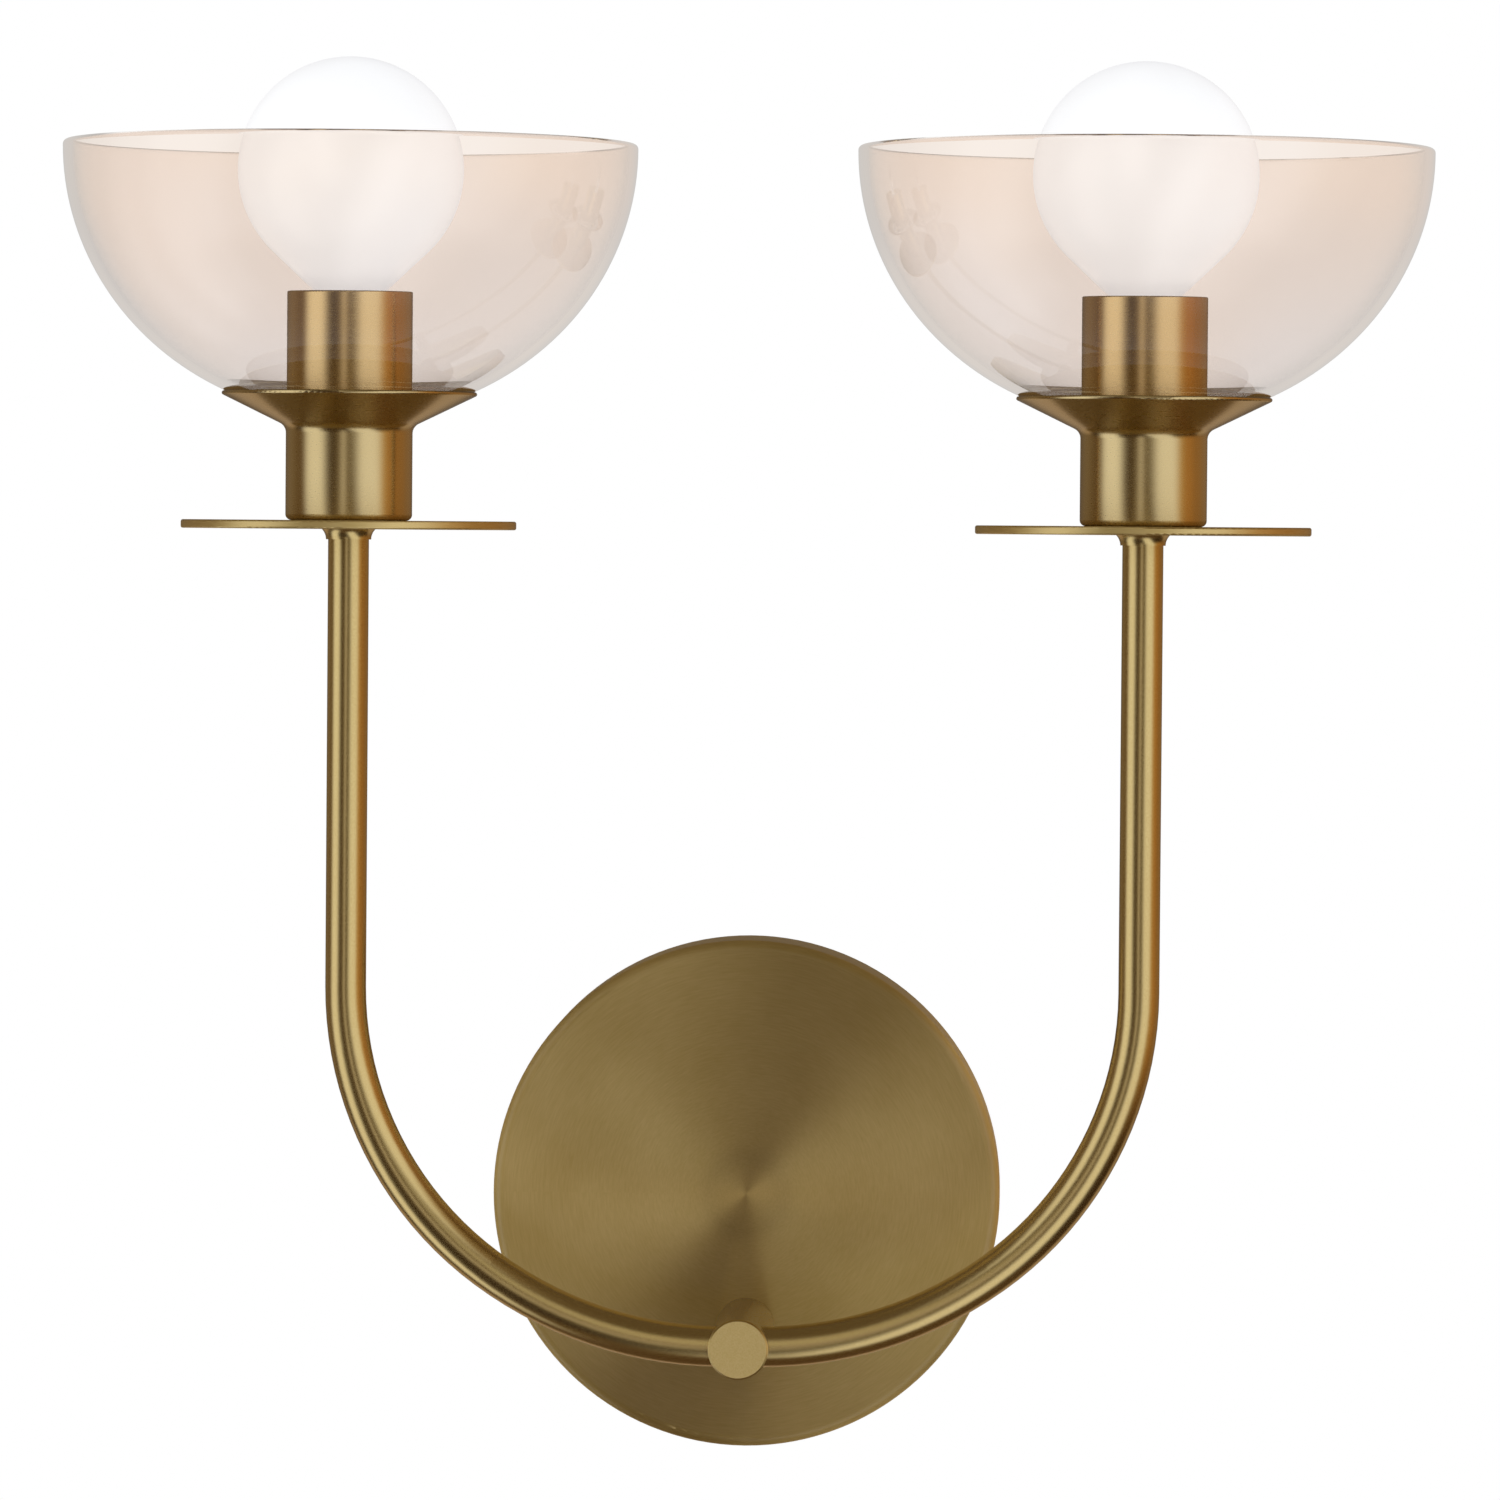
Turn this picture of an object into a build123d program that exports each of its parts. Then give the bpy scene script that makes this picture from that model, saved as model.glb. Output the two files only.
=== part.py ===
"""A wall light with two arms: brass canopy, post and bent tubes, two glass bowls, two globe bulbs.

Millimetres, +Z up. The origin is the middle of the canopy's open back, which lies on the wall, and
the light stands out from the wall towards -Y. Pieces that come left and right are drawn for the
right lamp, at +X, and mirrored. A "distance" is measured from the wall, along -Y.
"""

from build123d import *
from math import acos, atan, cos, degrees, radians, sin, sqrt, tan
import os

os.makedirs("parts", exist_ok=True)

# Over all
REACH = 72.0  # distance of the arms and of the lamps' axes
LAMP_X = 92.1  # from the middle to each lamp's axis
POST_DROP = 31.8  # the post's axis below the canopy's centre
DISC_HEIGHT = 157.4  # the underside of each disc above the canopy's centre
SLIP = 0.1  # radial clearance of a hole round the tube or thread in it

# Canopy: a spun pan, its front edge rounded
CANOPY_R = 60.3
CANOPY_DEPTH = 26.0
CANOPY_WALL = 1.2
CANOPY_EDGE = 2.5
SIDE_SCREW_DISTANCE = 8.0
SIDE_SCREW_R = 1.95
SIDE_SCREW_LENGTH = 5.2
SIDE_SCREW_SINK = 0.2  # how far its outer end lies inside the canopy's outer face
SIDE_SCREW_KEY = 2.0  # hex socket, across flats and deep
SIDE_HOLE_SLIP = 0.25

# Crossbar: a steel strap on the outlet box, its middle raised off the wall, its ends turned out
BAR_THICK = 1.6
BAR_WIDTH = 20.0
BAR_RISE = 5.0
BAR_RISE_X = 26.0  # half the length of the raised middle
BAR_BEND = 0.8  # inside radius of each bend
BAR_GAP = 0.6  # from each end of the bar to the canopy's wall
BAR_HOLE_R = 5.2
TAB_WIDTH = 12.0
TAB_END = 13.0  # distance
TAB_HOLE_SLIP = 0.05
BOX_SPACING = 79.4  # between the middles of the two slots
SLOT_R = 2.2
SLOT_LENGTH = 13.9

# Earth connection: a screw in the bar, and a short wire with a ring terminal at each end
EARTH_X = 14.0
EARTH_SCREW_R = 2.05
EARTH_SCREW_TIP = 1.0  # distance
EARTH_HEAD_R = 4.0
EARTH_HEAD_HIGH = 3.0
EARTH_DRIVE = 1.2  # width of the slot in its head
TERMINAL_THICK = 0.8
TERMINAL_RIM = 2.4  # width of the ring round its hole
TERMINAL_NECK = 1.8  # from the ring to the barrel
BARREL_SLIP = 0.1  # round the wire in it
BARREL_WALL = 0.6
BARREL_LENGTH = 4.0
EARTH_WIRE_R = 0.8
EARTH_WIRE_BEND = 3.5
EARTH_WIRE_RUN = 4.0  # from each barrel to the wire's corner

# Post: a turned rod on a threaded tube through the canopy, closed by a cap
POST_R = 7.0
POST_PAST_ARMS = 6.4  # from the arms' axis to the post's end
POST_BORE_R = 4.4
CAP_THICK = 1.6
CAP_CHAMFER = 0.4
CAP_SPIGOT = 3.0
NIPPLE_R = 4.75
NIPPLE_BORE_R = 3.2
NIPPLE_IN_POST = 12.0
NIPPLE_BEHIND = 11.0  # how far it reaches behind the canopy's front
NIPPLE_HOLE_SLIP = 0.25
WASHER_R = 8.0
WASHER_THICK = 1.0
NUT_FLATS = 14.3
NUT_CHAMFER = 0.5
CANOPY_NUT_THICK = 4.0

# Arms: brass tube with two tangent bends and a riser
TUBE_R = 4.75
TUBE_WALL = 1.0
ARM_INSET = 0.3  # from the post's bore to the arm's end
LOWER_BEND_R = 92.0
LOWER_BEND = 36.0  # degrees
TUBE_IN_CAP = 4.4  # how far the tube reaches into the lamp holder's cap

# Collar, disc and cup, clamped by a washer and a nut on the tube
COLLAR_HIGH = 2.4
COLLAR_FOOT_WALL = 0.4
COLLAR_TOP_WALL = 1.4
DISC_R = 38.9
DISC_THICK = 2.0
DISC_EDGE = 0.5
CUP_R = 14.7
CUP_WALL = 1.0
CUP_HIGH = 29.9  # from the disc to the top of the lip
CUP_LIP_R = 29.6
CUP_CONE_ROOM = 2.26  # below the glass, where the cone would meet the cup's side
CUP_FOOT_BEND = 0.4
CUP_NECK_BEND = 2.5
CUP_WASHER_R = 9.0
CUP_NUT_THICK = 3.5

# Bowl: half an egg of glass that stands on the cup's lip, its rim rounded over
BOWL_R = 66.6
BOWL_DEPTH = 62.8  # from the rim's level to the outside of the bottom
BOWL_WALL = 2.2
BOWL_HOLE_SLIP = 0.75  # from the lamp holder to the edge of the bowl's hole
SEAT_GAP = 0.1  # between glass and lip
GASKET_GAP = 0.05
CUP_GASKET_INSET = 1.3  # from the cup's side to the gasket's inner edge
CUP_GASKET_WIDE = 4.5
SLEEVE_GASKET_WIDE = 2.4
SLEEVE_GASKET_THIN = 0.65  # at its outer edge

# Sleeve: a brass tube that screws down over the lamp holder and clamps the glass
SLEEVE_WALL = 1.1
SLEEVE_ROOM = 2.3  # between the lamp holder and the sleeve's wall
SLEEVE_HIGH = 24.95
SLEEVE_FLANGE_HIGH = 4.0
SLEEVE_SLIP = 0.15

# Lamp holder: metal cap, porcelain body, screw shell and centre contact
HOLDER_R = 11.15
CAP_HIGH = 14.9
CAP_FLOOR = 3.0
CAP_WALL = 1.2
CAP_EDGE = 0.8
BODY_IN_CAP = 4.0
BODY_CAP_SLIP = 0.25
BODY_HIGH = 29.0  # above the cap
BODY_EDGE = 0.8
WELL_SLIP = 0.15  # round the screw shell
WELL_LIFT = 7.5  # the well's floor above the cap
WIRE_HOLE_SLIP = 0.15
WIRE_HOLE_HIGH = 3.0  # above the cap
PIN_X = 3.4
PIN_R = 0.8
PIN_SLIP = 0.1
PIN_LIFT = 0.5  # the pins' lower ends above the cap
BASE_ROOM = 0.4  # between the bulb's base and the shell
SHELL_METAL = 0.3
SHELL_WAVE = 0.1
SHELL_LEDGE = 1.4  # from the middle of the shell's metal to the hole in its foot
SHELL_TAB = 1.0  # how far its tab reaches past the middle of the pin
SHELL_SHORT = 0.8  # how far the shell ends below the body's top
FOOT_THICK = 0.5
STRIP_WIDTH = 3.0
STRIP_INSET = 0.8  # from the hole in the shell's foot to the strip's end
STRIP_TIP_X = 2.2
STRIP_RISE = 2.6  # from the well's floor to the strip's top
THREAD_PITCH = 2.54
THREAD_START = 1.5  # from the bottom of a shell to its first wave

# Bulb: an opal globe on a small screw base
GLOBE_R = 26.2
GLOBE_WALL = 0.7
NECK_CONE = 46.5  # degrees between the side of the cone and the axis
NECK_SLIP = 0.3  # between neck and base
NECK_BLEND = 2.0
NECK_SINK = 0.2  # the cone's lower end below the base's rim
NECK_LENGTH = 6.4  # below the cone
BASE_R = 5.65  # middle of the metal, between crest and root
BASE_METAL = 0.3
BASE_WAVE = 0.15
BASE_HIGH = 16.1
BASE_TURNS = 4
INSULATOR_HIGH = 2.1
INSULATOR_INSET = 0.35  # from the middle of the base's metal
INSULATOR_TIP_R = 3.2
TIP_R = 2.6
TIP_HIGH = 1.2
TIP_EDGE = 1.0
TIP_GAP = 0.3  # between the bulb's tip and the centre contact
STEM_R = 2.2
STEM_HIGH = 19.0
STEM_DISC_HIGH = 1.5
STEM_SLIP = 0.05
SUPPORT_R = 0.3
SUPPORT_X = 1.0
SUPPORT_SPREAD_X = 5.5
SUPPORT_LOW = 2.0  # above the base's bottom
SUPPORT_BEND = 3.0
FILAMENT_R = 0.3
FILAMENT_OVERHANG = 0.5
FILAMENT_GAP = 0.02

# Wires: a hot and a neutral one for each lamp, joined in pairs under twist-on connectors
WIRE_R = 1.0
WIRE_GAP = 0.1  # from each wire to the middle of the tube
WIRE_TURN_R = 5.0  # the inner wire's turn behind the canopy
WIRE_SPREAD_HIGH = 5.5  # the S from the tube's top to the holes of the lamp holder
CONNECTOR_X = 16.0
CONNECTOR_LENGTH = 18.0
CONNECTOR_MOUTH_R = 5.2
CONNECTOR_TIP_R = 3.6
CONNECTOR_TIP_EDGE = 1.0
CONNECTOR_SLIP = 0.2  # round its two wires
CONNECTOR_WELL = 8.0
WIRE_IN_CONNECTOR = 7.0

# Heights and radii that follow
POST_Z = -POST_DROP
NIPPLE_TIP = CANOPY_DEPTH - NIPPLE_BEHIND
BAR_END_X = CANOPY_R - CANOPY_WALL - BAR_GAP
BAR_FRONT = BAR_RISE + BAR_THICK
POST_END = REACH + POST_PAST_ARMS
ARM_START = POST_BORE_R + ARM_INSET
WIRE_OFFSET = WIRE_R + WIRE_GAP
UPPER_BEND_R = (LAMP_X - ARM_START - LOWER_BEND_R * sin(radians(LOWER_BEND))) / (
    1 - sin(radians(LOWER_BEND))
)
DISC_TOP = DISC_HEIGHT + DISC_THICK
CUP_WASHER_BASE = DISC_TOP + CUP_WALL
CUP_NUT_BASE = CUP_WASHER_BASE + WASHER_THICK
CAP_BASE = CUP_NUT_BASE + CUP_NUT_THICK
CAP_TOP = CAP_BASE + CAP_HIGH
TUBE_TOP = CAP_BASE + TUBE_IN_CAP
BODY_TOP = CAP_TOP + BODY_HIGH
WELL_FLOOR = CAP_TOP + WELL_LIFT
PIN_BASE = CAP_TOP + PIN_LIFT
SHELL_R = BASE_R + (BASE_METAL + SHELL_METAL) / 2 + BASE_WAVE + SHELL_WAVE + BASE_ROOM
WELL_R = SHELL_R + SHELL_METAL / 2 + SHELL_WAVE + WELL_SLIP
SHELL_FOOT_HOLE_R = SHELL_R - SHELL_LEDGE
TIP_BASE = WELL_FLOOR + STRIP_RISE + TIP_GAP
INSULATOR_BASE = TIP_BASE + TIP_HIGH
BASE_BOTTOM = INSULATOR_BASE + INSULATOR_HIGH
BASE_TOP = BASE_BOTTOM + BASE_HIGH
NECK_R = BASE_R - BASE_METAL / 2 - BASE_WAVE - NECK_SLIP
NECK_TOP = BASE_TOP - NECK_SINK
NECK_BOTTOM = NECK_TOP - NECK_LENGTH
GLOBE_Z = (
    NECK_TOP
    + GLOBE_R * sin(radians(NECK_CONE))
    + (GLOBE_R * cos(radians(NECK_CONE)) - NECK_R) / tan(radians(NECK_CONE))
)
STEM_TOP = NECK_BOTTOM + STEM_HIGH
BOWL_HOLE_R = HOLDER_R + BOWL_HOLE_SLIP
SLEEVE_GASKET_R = BOWL_HOLE_R + SLEEVE_GASKET_WIDE
SLEEVE_R = HOLDER_R + SLEEVE_ROOM + SLEEVE_WALL
LEVEL = (Align.CENTER, Align.CENTER, Align.MIN)


def bowl_drop(radius, inset=0.0):
    """How far the bowl's surface lies below its rim at a radius, or a surface `inset` within it."""
    return (BOWL_DEPTH - inset) * sqrt(1 - (radius / (BOWL_R - inset)) ** 2)


# The middle of the rounded lip, the cone below it, and the bowl's rim, from the bowl's slope there
LIP_R = CUP_LIP_R - CUP_WALL / 2
LIP_Z = DISC_TOP + CUP_HIGH - CUP_WALL / 2
BOWL_SLOPE = BOWL_DEPTH**2 * LIP_R / (BOWL_R**2 * bowl_drop(LIP_R))
BOWL_RIM = LIP_Z + (CUP_WALL / 2 + SEAT_GAP) * sqrt(1 + BOWL_SLOPE**2) + bowl_drop(LIP_R)
CUP_SLOPE = atan((bowl_drop(CUP_R) - bowl_drop(LIP_R) + CUP_CONE_ROOM) / (LIP_R - CUP_R))
SLEEVE_BASE = BOWL_RIM - bowl_drop(SLEEVE_GASKET_R, BOWL_WALL) + SLEEVE_GASKET_THIN


# Shapes that several pieces share


def rod(radius, bottom, top):
    """A round bar on the Z axis between two heights."""
    return Pos(0, 0, bottom) * Cylinder(radius, top - bottom, align=LEVEL)


def ring(hole, radius, bottom, top):
    """A round bar with a round hole through it."""
    return rod(radius, bottom, top) - rod(hole, bottom, top)


def spun(*lines):
    """The solid that a closed outline of (radius, height) sweeps round the Z axis."""
    edges = [edge for line in lines for edge in line.edges()]
    return revolve(Plane.XZ * make_face(edges), Axis.Z)


def turned(points, radii=0):
    """The solid of revolution of a polygon of (radius, height), its corners rounded by `radii`."""
    return spun(FilletPolyline(*points, radius=radii, close=True))


def out_from_wall(shape, x=0.0, z=0.0):
    """Stands a shape drawn along Z out from the wall, its heights now distances."""
    return Pos(x, 0, z) * Rot(X=90) * shape


def across(shape, distance, z=0.0):
    """Lays a shape drawn along Z along +X instead."""
    return Pos(0, -distance, z) * Rot(Y=90) * shape


def at_lamp(shape):
    """Moves a shape drawn about the Z axis to the right lamp's axis."""
    return Pos(LAMP_X, -REACH, 0) * shape


def other_side(shape):
    """The same piece for the left."""
    return mirror(shape, Plane.YZ)


def both_sides(shape):
    """The piece and its mirror image as one group."""
    return Compound([*shape.solids(), *other_side(shape).solids()])


def hex_bar(flats, bottom, top):
    """A hexagonal bar on the Z axis."""
    outline = RegularPolygon(flats / 2, 6, major_radius=False)
    return extrude(Pos(0, 0, bottom) * outline, top - bottom)


def nut(hole, bottom, thick):
    """A hexagon nut, its corners turned off at both ends."""
    corner = NUT_FLATS / 2 / cos(radians(30))
    limit = chamfer(rod(corner, bottom, bottom + thick).edges(), NUT_CHAMFER)
    body = hex_bar(NUT_FLATS, bottom, bottom + thick) & limit
    return body - rod(hole, bottom, bottom + thick)


def bent_sheet(points, thick, bends, tip=0.0):
    """The outline of a sheet that lies `thick` to the left of a line, its far end rounded by `tip`.

    `bends` holds the inside radius at each corner of the line.
    """
    points = [Vector(*point) for point in points]
    ways = [(after - here).normalized() for here, after in zip(points, points[1:])]
    lefts = [Vector(-way.Y, way.X) for way in ways]
    inner = []
    for here, one, two in zip(points, [lefts[0], *lefts], [*lefts, lefts[-1]]):
        inner.append(here + (one + two) * (thick / (1 + one.dot(two))))
    near, far = [], []
    for bend, one, two in zip(bends, ways, ways[1:]):
        turns_left = one.cross(two).Z > 0
        near.append(bend + thick if turns_left else bend)
        far.append(bend if turns_left else bend + thick)
    radii = [0, *near, tip, tip, *reversed(far), 0]
    return FilletPolyline(*points, *reversed(inner), radius=radii, close=True)


def threaded(radius, wave, bottom, top, first, turns):
    """A round bar with a rolled thread, drawn as round waves that start at the height `first`."""
    half = THREAD_PITCH / 2
    side = []
    for step in range(2 * turns):
        start = first + step * half
        swell = -wave if step % 2 else wave
        middle = (radius + swell, start + half / 2)
        side.append(ThreePointArc((radius, start), middle, (radius, start + half)))
    above = Polyline((radius, first + 2 * turns * half), (radius, top), (0, top), (0, bottom))
    below = Polyline((0, bottom), (radius, bottom), (radius, first))
    return spun(*side, above, below)


def swept(section, *lines):
    """A section swept along lines that follow on from each other."""
    path = Wire([edge for line in lines for edge in line.edges()])
    return sweep(Plane(path @ 0, z_dir=path % 0) * section, path)


# Canopy and what lies behind it


def pan(inset):
    """The canopy as if it were solid, drawn in by `inset` but for its open back."""
    radius = CANOPY_R - inset
    depth = CANOPY_DEPTH - inset
    edge = CANOPY_EDGE - inset
    return turned([(0, 0), (radius, 0), (radius, depth), (0, depth)], [0, 0, edge, 0])


def canopy():
    """The pan, with the hole for the threaded tube and one for each side screw."""
    shell = out_from_wall(pan(0) - pan(CANOPY_WALL))
    shell -= out_from_wall(rod(NIPPLE_R + NIPPLE_HOLE_SLIP, 0, CANOPY_DEPTH), z=POST_Z)
    side_hole = rod(SIDE_SCREW_R + SIDE_HOLE_SLIP, -CANOPY_R, CANOPY_R)
    return shell - across(side_hole, SIDE_SCREW_DISTANCE)


def crossbar():
    """The strap: flat on the wall at both ends, joggled out in the middle, with a tab at each end."""
    half = [
        (BAR_END_X, -TAB_END),
        (BAR_END_X, 0),
        (BAR_RISE_X + BAR_RISE, 0),
        (BAR_RISE_X, -BAR_RISE),
    ]
    back = half + [(-x, y) for x, y in reversed(half)]
    strap = extrude(make_face(bent_sheet(back, BAR_THICK, [BAR_BEND] * 6)), BAR_WIDTH / 2, both=True)
    notch = Box(BAR_END_X, 2 * TAB_END, BAR_WIDTH, align=(Align.MIN, Align.CENTER, Align.MIN))
    notch = Pos(BAR_END_X - BAR_THICK - BAR_BEND, 0, TAB_WIDTH / 2) * notch
    notches = notch + mirror(notch, Plane.XY)
    strap -= notches + other_side(notches)
    slot = extrude(SlotOverall(SLOT_LENGTH, 2 * SLOT_R), TAB_END)
    for x in (-BOX_SPACING / 2, BOX_SPACING / 2):
        strap -= out_from_wall(slot, x)
    strap -= out_from_wall(rod(BAR_HOLE_R, 0, TAB_END))
    strap -= out_from_wall(rod(EARTH_SCREW_R + SLIP, 0, TAB_END), EARTH_X)
    tab_hole = rod(SIDE_SCREW_R + TAB_HOLE_SLIP, -CANOPY_R, CANOPY_R)
    return strap - across(tab_hole, SIDE_SCREW_DISTANCE)


def canopy_screws():
    """Two headless screws with hex sockets, through the canopy's side into the bar's tabs."""
    end = CANOPY_R - SIDE_SCREW_SINK
    screw = rod(SIDE_SCREW_R, end - SIDE_SCREW_LENGTH, end)
    screw = chamfer(screw.edges(), SIDE_SCREW_SINK)
    screw -= hex_bar(SIDE_SCREW_KEY, end - SIDE_SCREW_KEY, end)
    return both_sides(across(screw, SIDE_SCREW_DISTANCE))


def ground_screw():
    """The screw that clamps the earth terminal to the bar, with a slotted head."""
    seat = BAR_FRONT + TERMINAL_THICK
    top = seat + EARTH_HEAD_HIGH
    head = chamfer(rod(EARTH_HEAD_R, seat, top).edges().group_by(Axis.Z)[-1], EARTH_SCREW_R / 4)
    drive = Box(2 * EARTH_HEAD_R, EARTH_DRIVE, EARTH_HEAD_HIGH, align=LEVEL)
    head -= Pos(0, 0, top - EARTH_DRIVE) * drive
    return out_from_wall(head + rod(EARTH_SCREW_R, EARTH_SCREW_TIP, seat), EARTH_X)


def terminal(hole):
    """A ring terminal whose top face lies at height 0, its barrel towards +Y and below that face."""
    barrel_r = EARTH_WIRE_R + BARREL_SLIP + BARREL_WALL
    rim = hole + TERMINAL_RIM
    below = (Align.CENTER, Align.MIN, Align.MAX)
    neck = Box(2 * barrel_r, rim + TERMINAL_NECK, TERMINAL_THICK, align=below)
    plate = rod(rim, -TERMINAL_THICK, 0) + neck - rod(hole, -TERMINAL_THICK, 0)
    barrel = ring(EARTH_WIRE_R + BARREL_SLIP, barrel_r, 0, BARREL_LENGTH)
    return plate + Pos(0, rim + TERMINAL_NECK, -barrel_r) * Rot(X=-90) * barrel


def ground_terminals():
    """One ring under the earth screw, barrel down, and one behind the canopy's washer, barrel up."""
    small = Pos(0, 0, BAR_FRONT) * Rot(X=180) * terminal(EARTH_SCREW_R + SLIP)
    seat = CANOPY_DEPTH - CANOPY_WALL - WASHER_THICK
    large = Pos(0, 0, seat) * terminal(NIPPLE_R + SLIP)
    placed = [out_from_wall(small, EARTH_X), out_from_wall(large, z=POST_Z)]
    return Compound([solid for one in placed for solid in one.solids()])


def ground_lead():
    """The earth wire between the two barrels."""
    barrel_r = EARTH_WIRE_R + BARREL_SLIP + BARREL_WALL
    ring_to_wire = TERMINAL_RIM + TERMINAL_NECK
    low_y = -(CANOPY_DEPTH - CANOPY_WALL - WASHER_THICK - barrel_r)
    low_z = POST_Z + NIPPLE_R + SLIP + ring_to_wire
    high_y = -(BAR_FRONT + barrel_r)
    high_z = -(EARTH_SCREW_R + SLIP + ring_to_wire)
    route = FilletPolyline(
        (0, low_y, low_z),
        (0, low_y, low_z + BARREL_LENGTH + EARTH_WIRE_RUN),
        (EARTH_X, high_y, high_z - BARREL_LENGTH - EARTH_WIRE_RUN),
        (EARTH_X, high_y, high_z),
        radius=EARTH_WIRE_BEND,
    )
    return swept(Circle(EARTH_WIRE_R), route)


def canopy_nipple():
    """The threaded tube that joins post and canopy and lets the wires through."""
    tube = ring(NIPPLE_BORE_R, NIPPLE_R, NIPPLE_TIP, CANOPY_DEPTH + NIPPLE_IN_POST)
    return out_from_wall(tube, z=POST_Z)


def canopy_washer():
    """The washer behind the canopy's front."""
    front = CANOPY_DEPTH - CANOPY_WALL
    washer = ring(NIPPLE_R + SLIP, WASHER_R, front - WASHER_THICK, front)
    return out_from_wall(washer, z=POST_Z)


def canopy_nut():
    """The nut that draws the post against the canopy."""
    front = CANOPY_DEPTH - CANOPY_WALL - WASHER_THICK - TERMINAL_THICK
    part = nut(NIPPLE_R + SLIP, front - CANOPY_NUT_THICK, CANOPY_NUT_THICK)
    return out_from_wall(part, z=POST_Z)


def post():
    """The rod, bored through for the wires, with a cross hole for the ends of the arms."""
    body = ring(POST_BORE_R, POST_R, CANOPY_DEPTH, POST_END)
    body -= rod(NIPPLE_R + SLIP, CANOPY_DEPTH, CANOPY_DEPTH + NIPPLE_IN_POST + SLIP)
    body -= Pos(0, 0, REACH) * Rot(Y=90) * rod(TUBE_R + SLIP, -POST_R, POST_R)
    return out_from_wall(body, z=POST_Z)


def post_cap():
    """The flat cap on the post's end, held by its spigot in the bore."""
    top = POST_END + CAP_THICK
    spigot = POST_BORE_R - SLIP
    outline = [
        (0, POST_END - CAP_SPIGOT),
        (spigot, POST_END - CAP_SPIGOT),
        (spigot, POST_END),
        (POST_R, POST_END),
        (POST_R, top - CAP_CHAMFER),
        (POST_R - CAP_CHAMFER, top),
        (0, top),
    ]
    return out_from_wall(turned(outline), z=POST_Z)


# Arms and wires


def arm_line(towards_middle=0.0):
    """The right arm's bends in its own plane, or a line beside them towards the bends' centres.

    Also returns the height where the straight riser starts.
    """
    plane = Plane((0, -REACH, 0), x_dir=(1, 0, 0), z_dir=(0, -1, 0))
    turn = radians(LOWER_BEND)
    riser_base = POST_Z + LOWER_BEND_R * (1 - cos(turn)) + UPPER_BEND_R * cos(turn)
    low_centre = (ARM_START, POST_Z + LOWER_BEND_R)
    high_centre = (LAMP_X - UPPER_BEND_R, riser_base)
    lower = CenterArc(low_centre, LOWER_BEND_R - towards_middle, 270, LOWER_BEND)
    upper = CenterArc(high_centre, UPPER_BEND_R - towards_middle, 270 + LOWER_BEND, 90 - LOWER_BEND)
    return plane * lower, plane * upper, riser_base


def arm():
    """The right arm: brazed into the post at its start, threaded outside at its top."""
    lower, upper, riser_base = arm_line()
    riser = Line((LAMP_X, -REACH, riser_base), (LAMP_X, -REACH, TUBE_TOP))
    section = Circle(TUBE_R) - Circle(TUBE_R - TUBE_WALL)
    return swept(section, lower, upper, riser)


def wire(level, connector):
    """A wire to the right lamp, above (1) or below (-1) the middle of post and arm.

    It comes from the twist-on connector on the lamp's own side (1) or on the other side (-1).
    """
    height = POST_Z + level * WIRE_OFFSET
    turn_x = connector * (WIRE_OFFSET + WIRE_TURN_R)
    turn_r = abs(turn_x - WIRE_OFFSET)
    start_x = connector * (CONNECTOR_X + WIRE_IN_CONNECTOR)
    start = Line((start_x, turn_r - NIPPLE_TIP), (turn_x, turn_r - NIPPLE_TIP))
    first = CenterArc((turn_x, -NIPPLE_TIP), turn_r, 90, connector * 90)
    last_r = ARM_START - WIRE_OFFSET
    through = Line((WIRE_OFFSET, -NIPPLE_TIP), (WIRE_OFFSET, last_r - REACH))
    last = CenterArc((ARM_START, last_r - REACH), last_r, 180, 90)
    in_post = [Pos(0, 0, height) * line for line in (start, first, through, last)]
    lower, upper, riser_base = arm_line(level * WIRE_OFFSET)
    tube_x = LAMP_X - level * WIRE_OFFSET
    hole_x = LAMP_X - level * PIN_X
    middle = ((tube_x + hole_x) / 2, -REACH, TUBE_TOP + WIRE_SPREAD_HIGH / 2)
    spread_end = (hole_x, -REACH, TUBE_TOP + WIRE_SPREAD_HIGH)
    riser = Line((tube_x, -REACH, riser_base), (tube_x, -REACH, TUBE_TOP))
    leave = TangentArc((tube_x, -REACH, TUBE_TOP), middle, tangent=(0, 0, 1))
    arrive = TangentArc(middle, spread_end, tangent=leave % 1)
    finish = Line(spread_end, (hole_x, -REACH, PIN_BASE))
    return swept(Circle(WIRE_R), *in_post, lower, upper, riser, leave, arrive, finish)


def wire_pair(level):
    """The two wires of one kind, right and left, which meet in one connector."""
    own, other = wire(level, level), other_side(wire(level, -level))
    return Compound([*own.solids(), *other.solids()])


def wire_connectors():
    """Two twist-on caps, open towards the middle, over the ends of the wires."""
    tip = CONNECTOR_X + CONNECTOR_LENGTH
    outline = [(0, CONNECTOR_X), (CONNECTOR_MOUTH_R, CONNECTOR_X), (CONNECTOR_TIP_R, tip), (0, tip)]
    cap = turned(outline, [0, 0, CONNECTOR_TIP_EDGE, 0])
    well_r = WIRE_OFFSET + WIRE_R + CONNECTOR_SLIP
    cap -= rod(well_r, CONNECTOR_X, CONNECTOR_X + CONNECTOR_WELL)
    distance = NIPPLE_TIP - WIRE_TURN_R - WIRE_OFFSET
    hot = across(cap, distance, POST_Z + WIRE_OFFSET)
    neutral = other_side(across(cap, distance, POST_Z - WIRE_OFFSET))
    return Compound([*hot.solids(), *neutral.solids()])


# Collar, disc, cup and bowl, drawn about the lamp's axis


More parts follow.
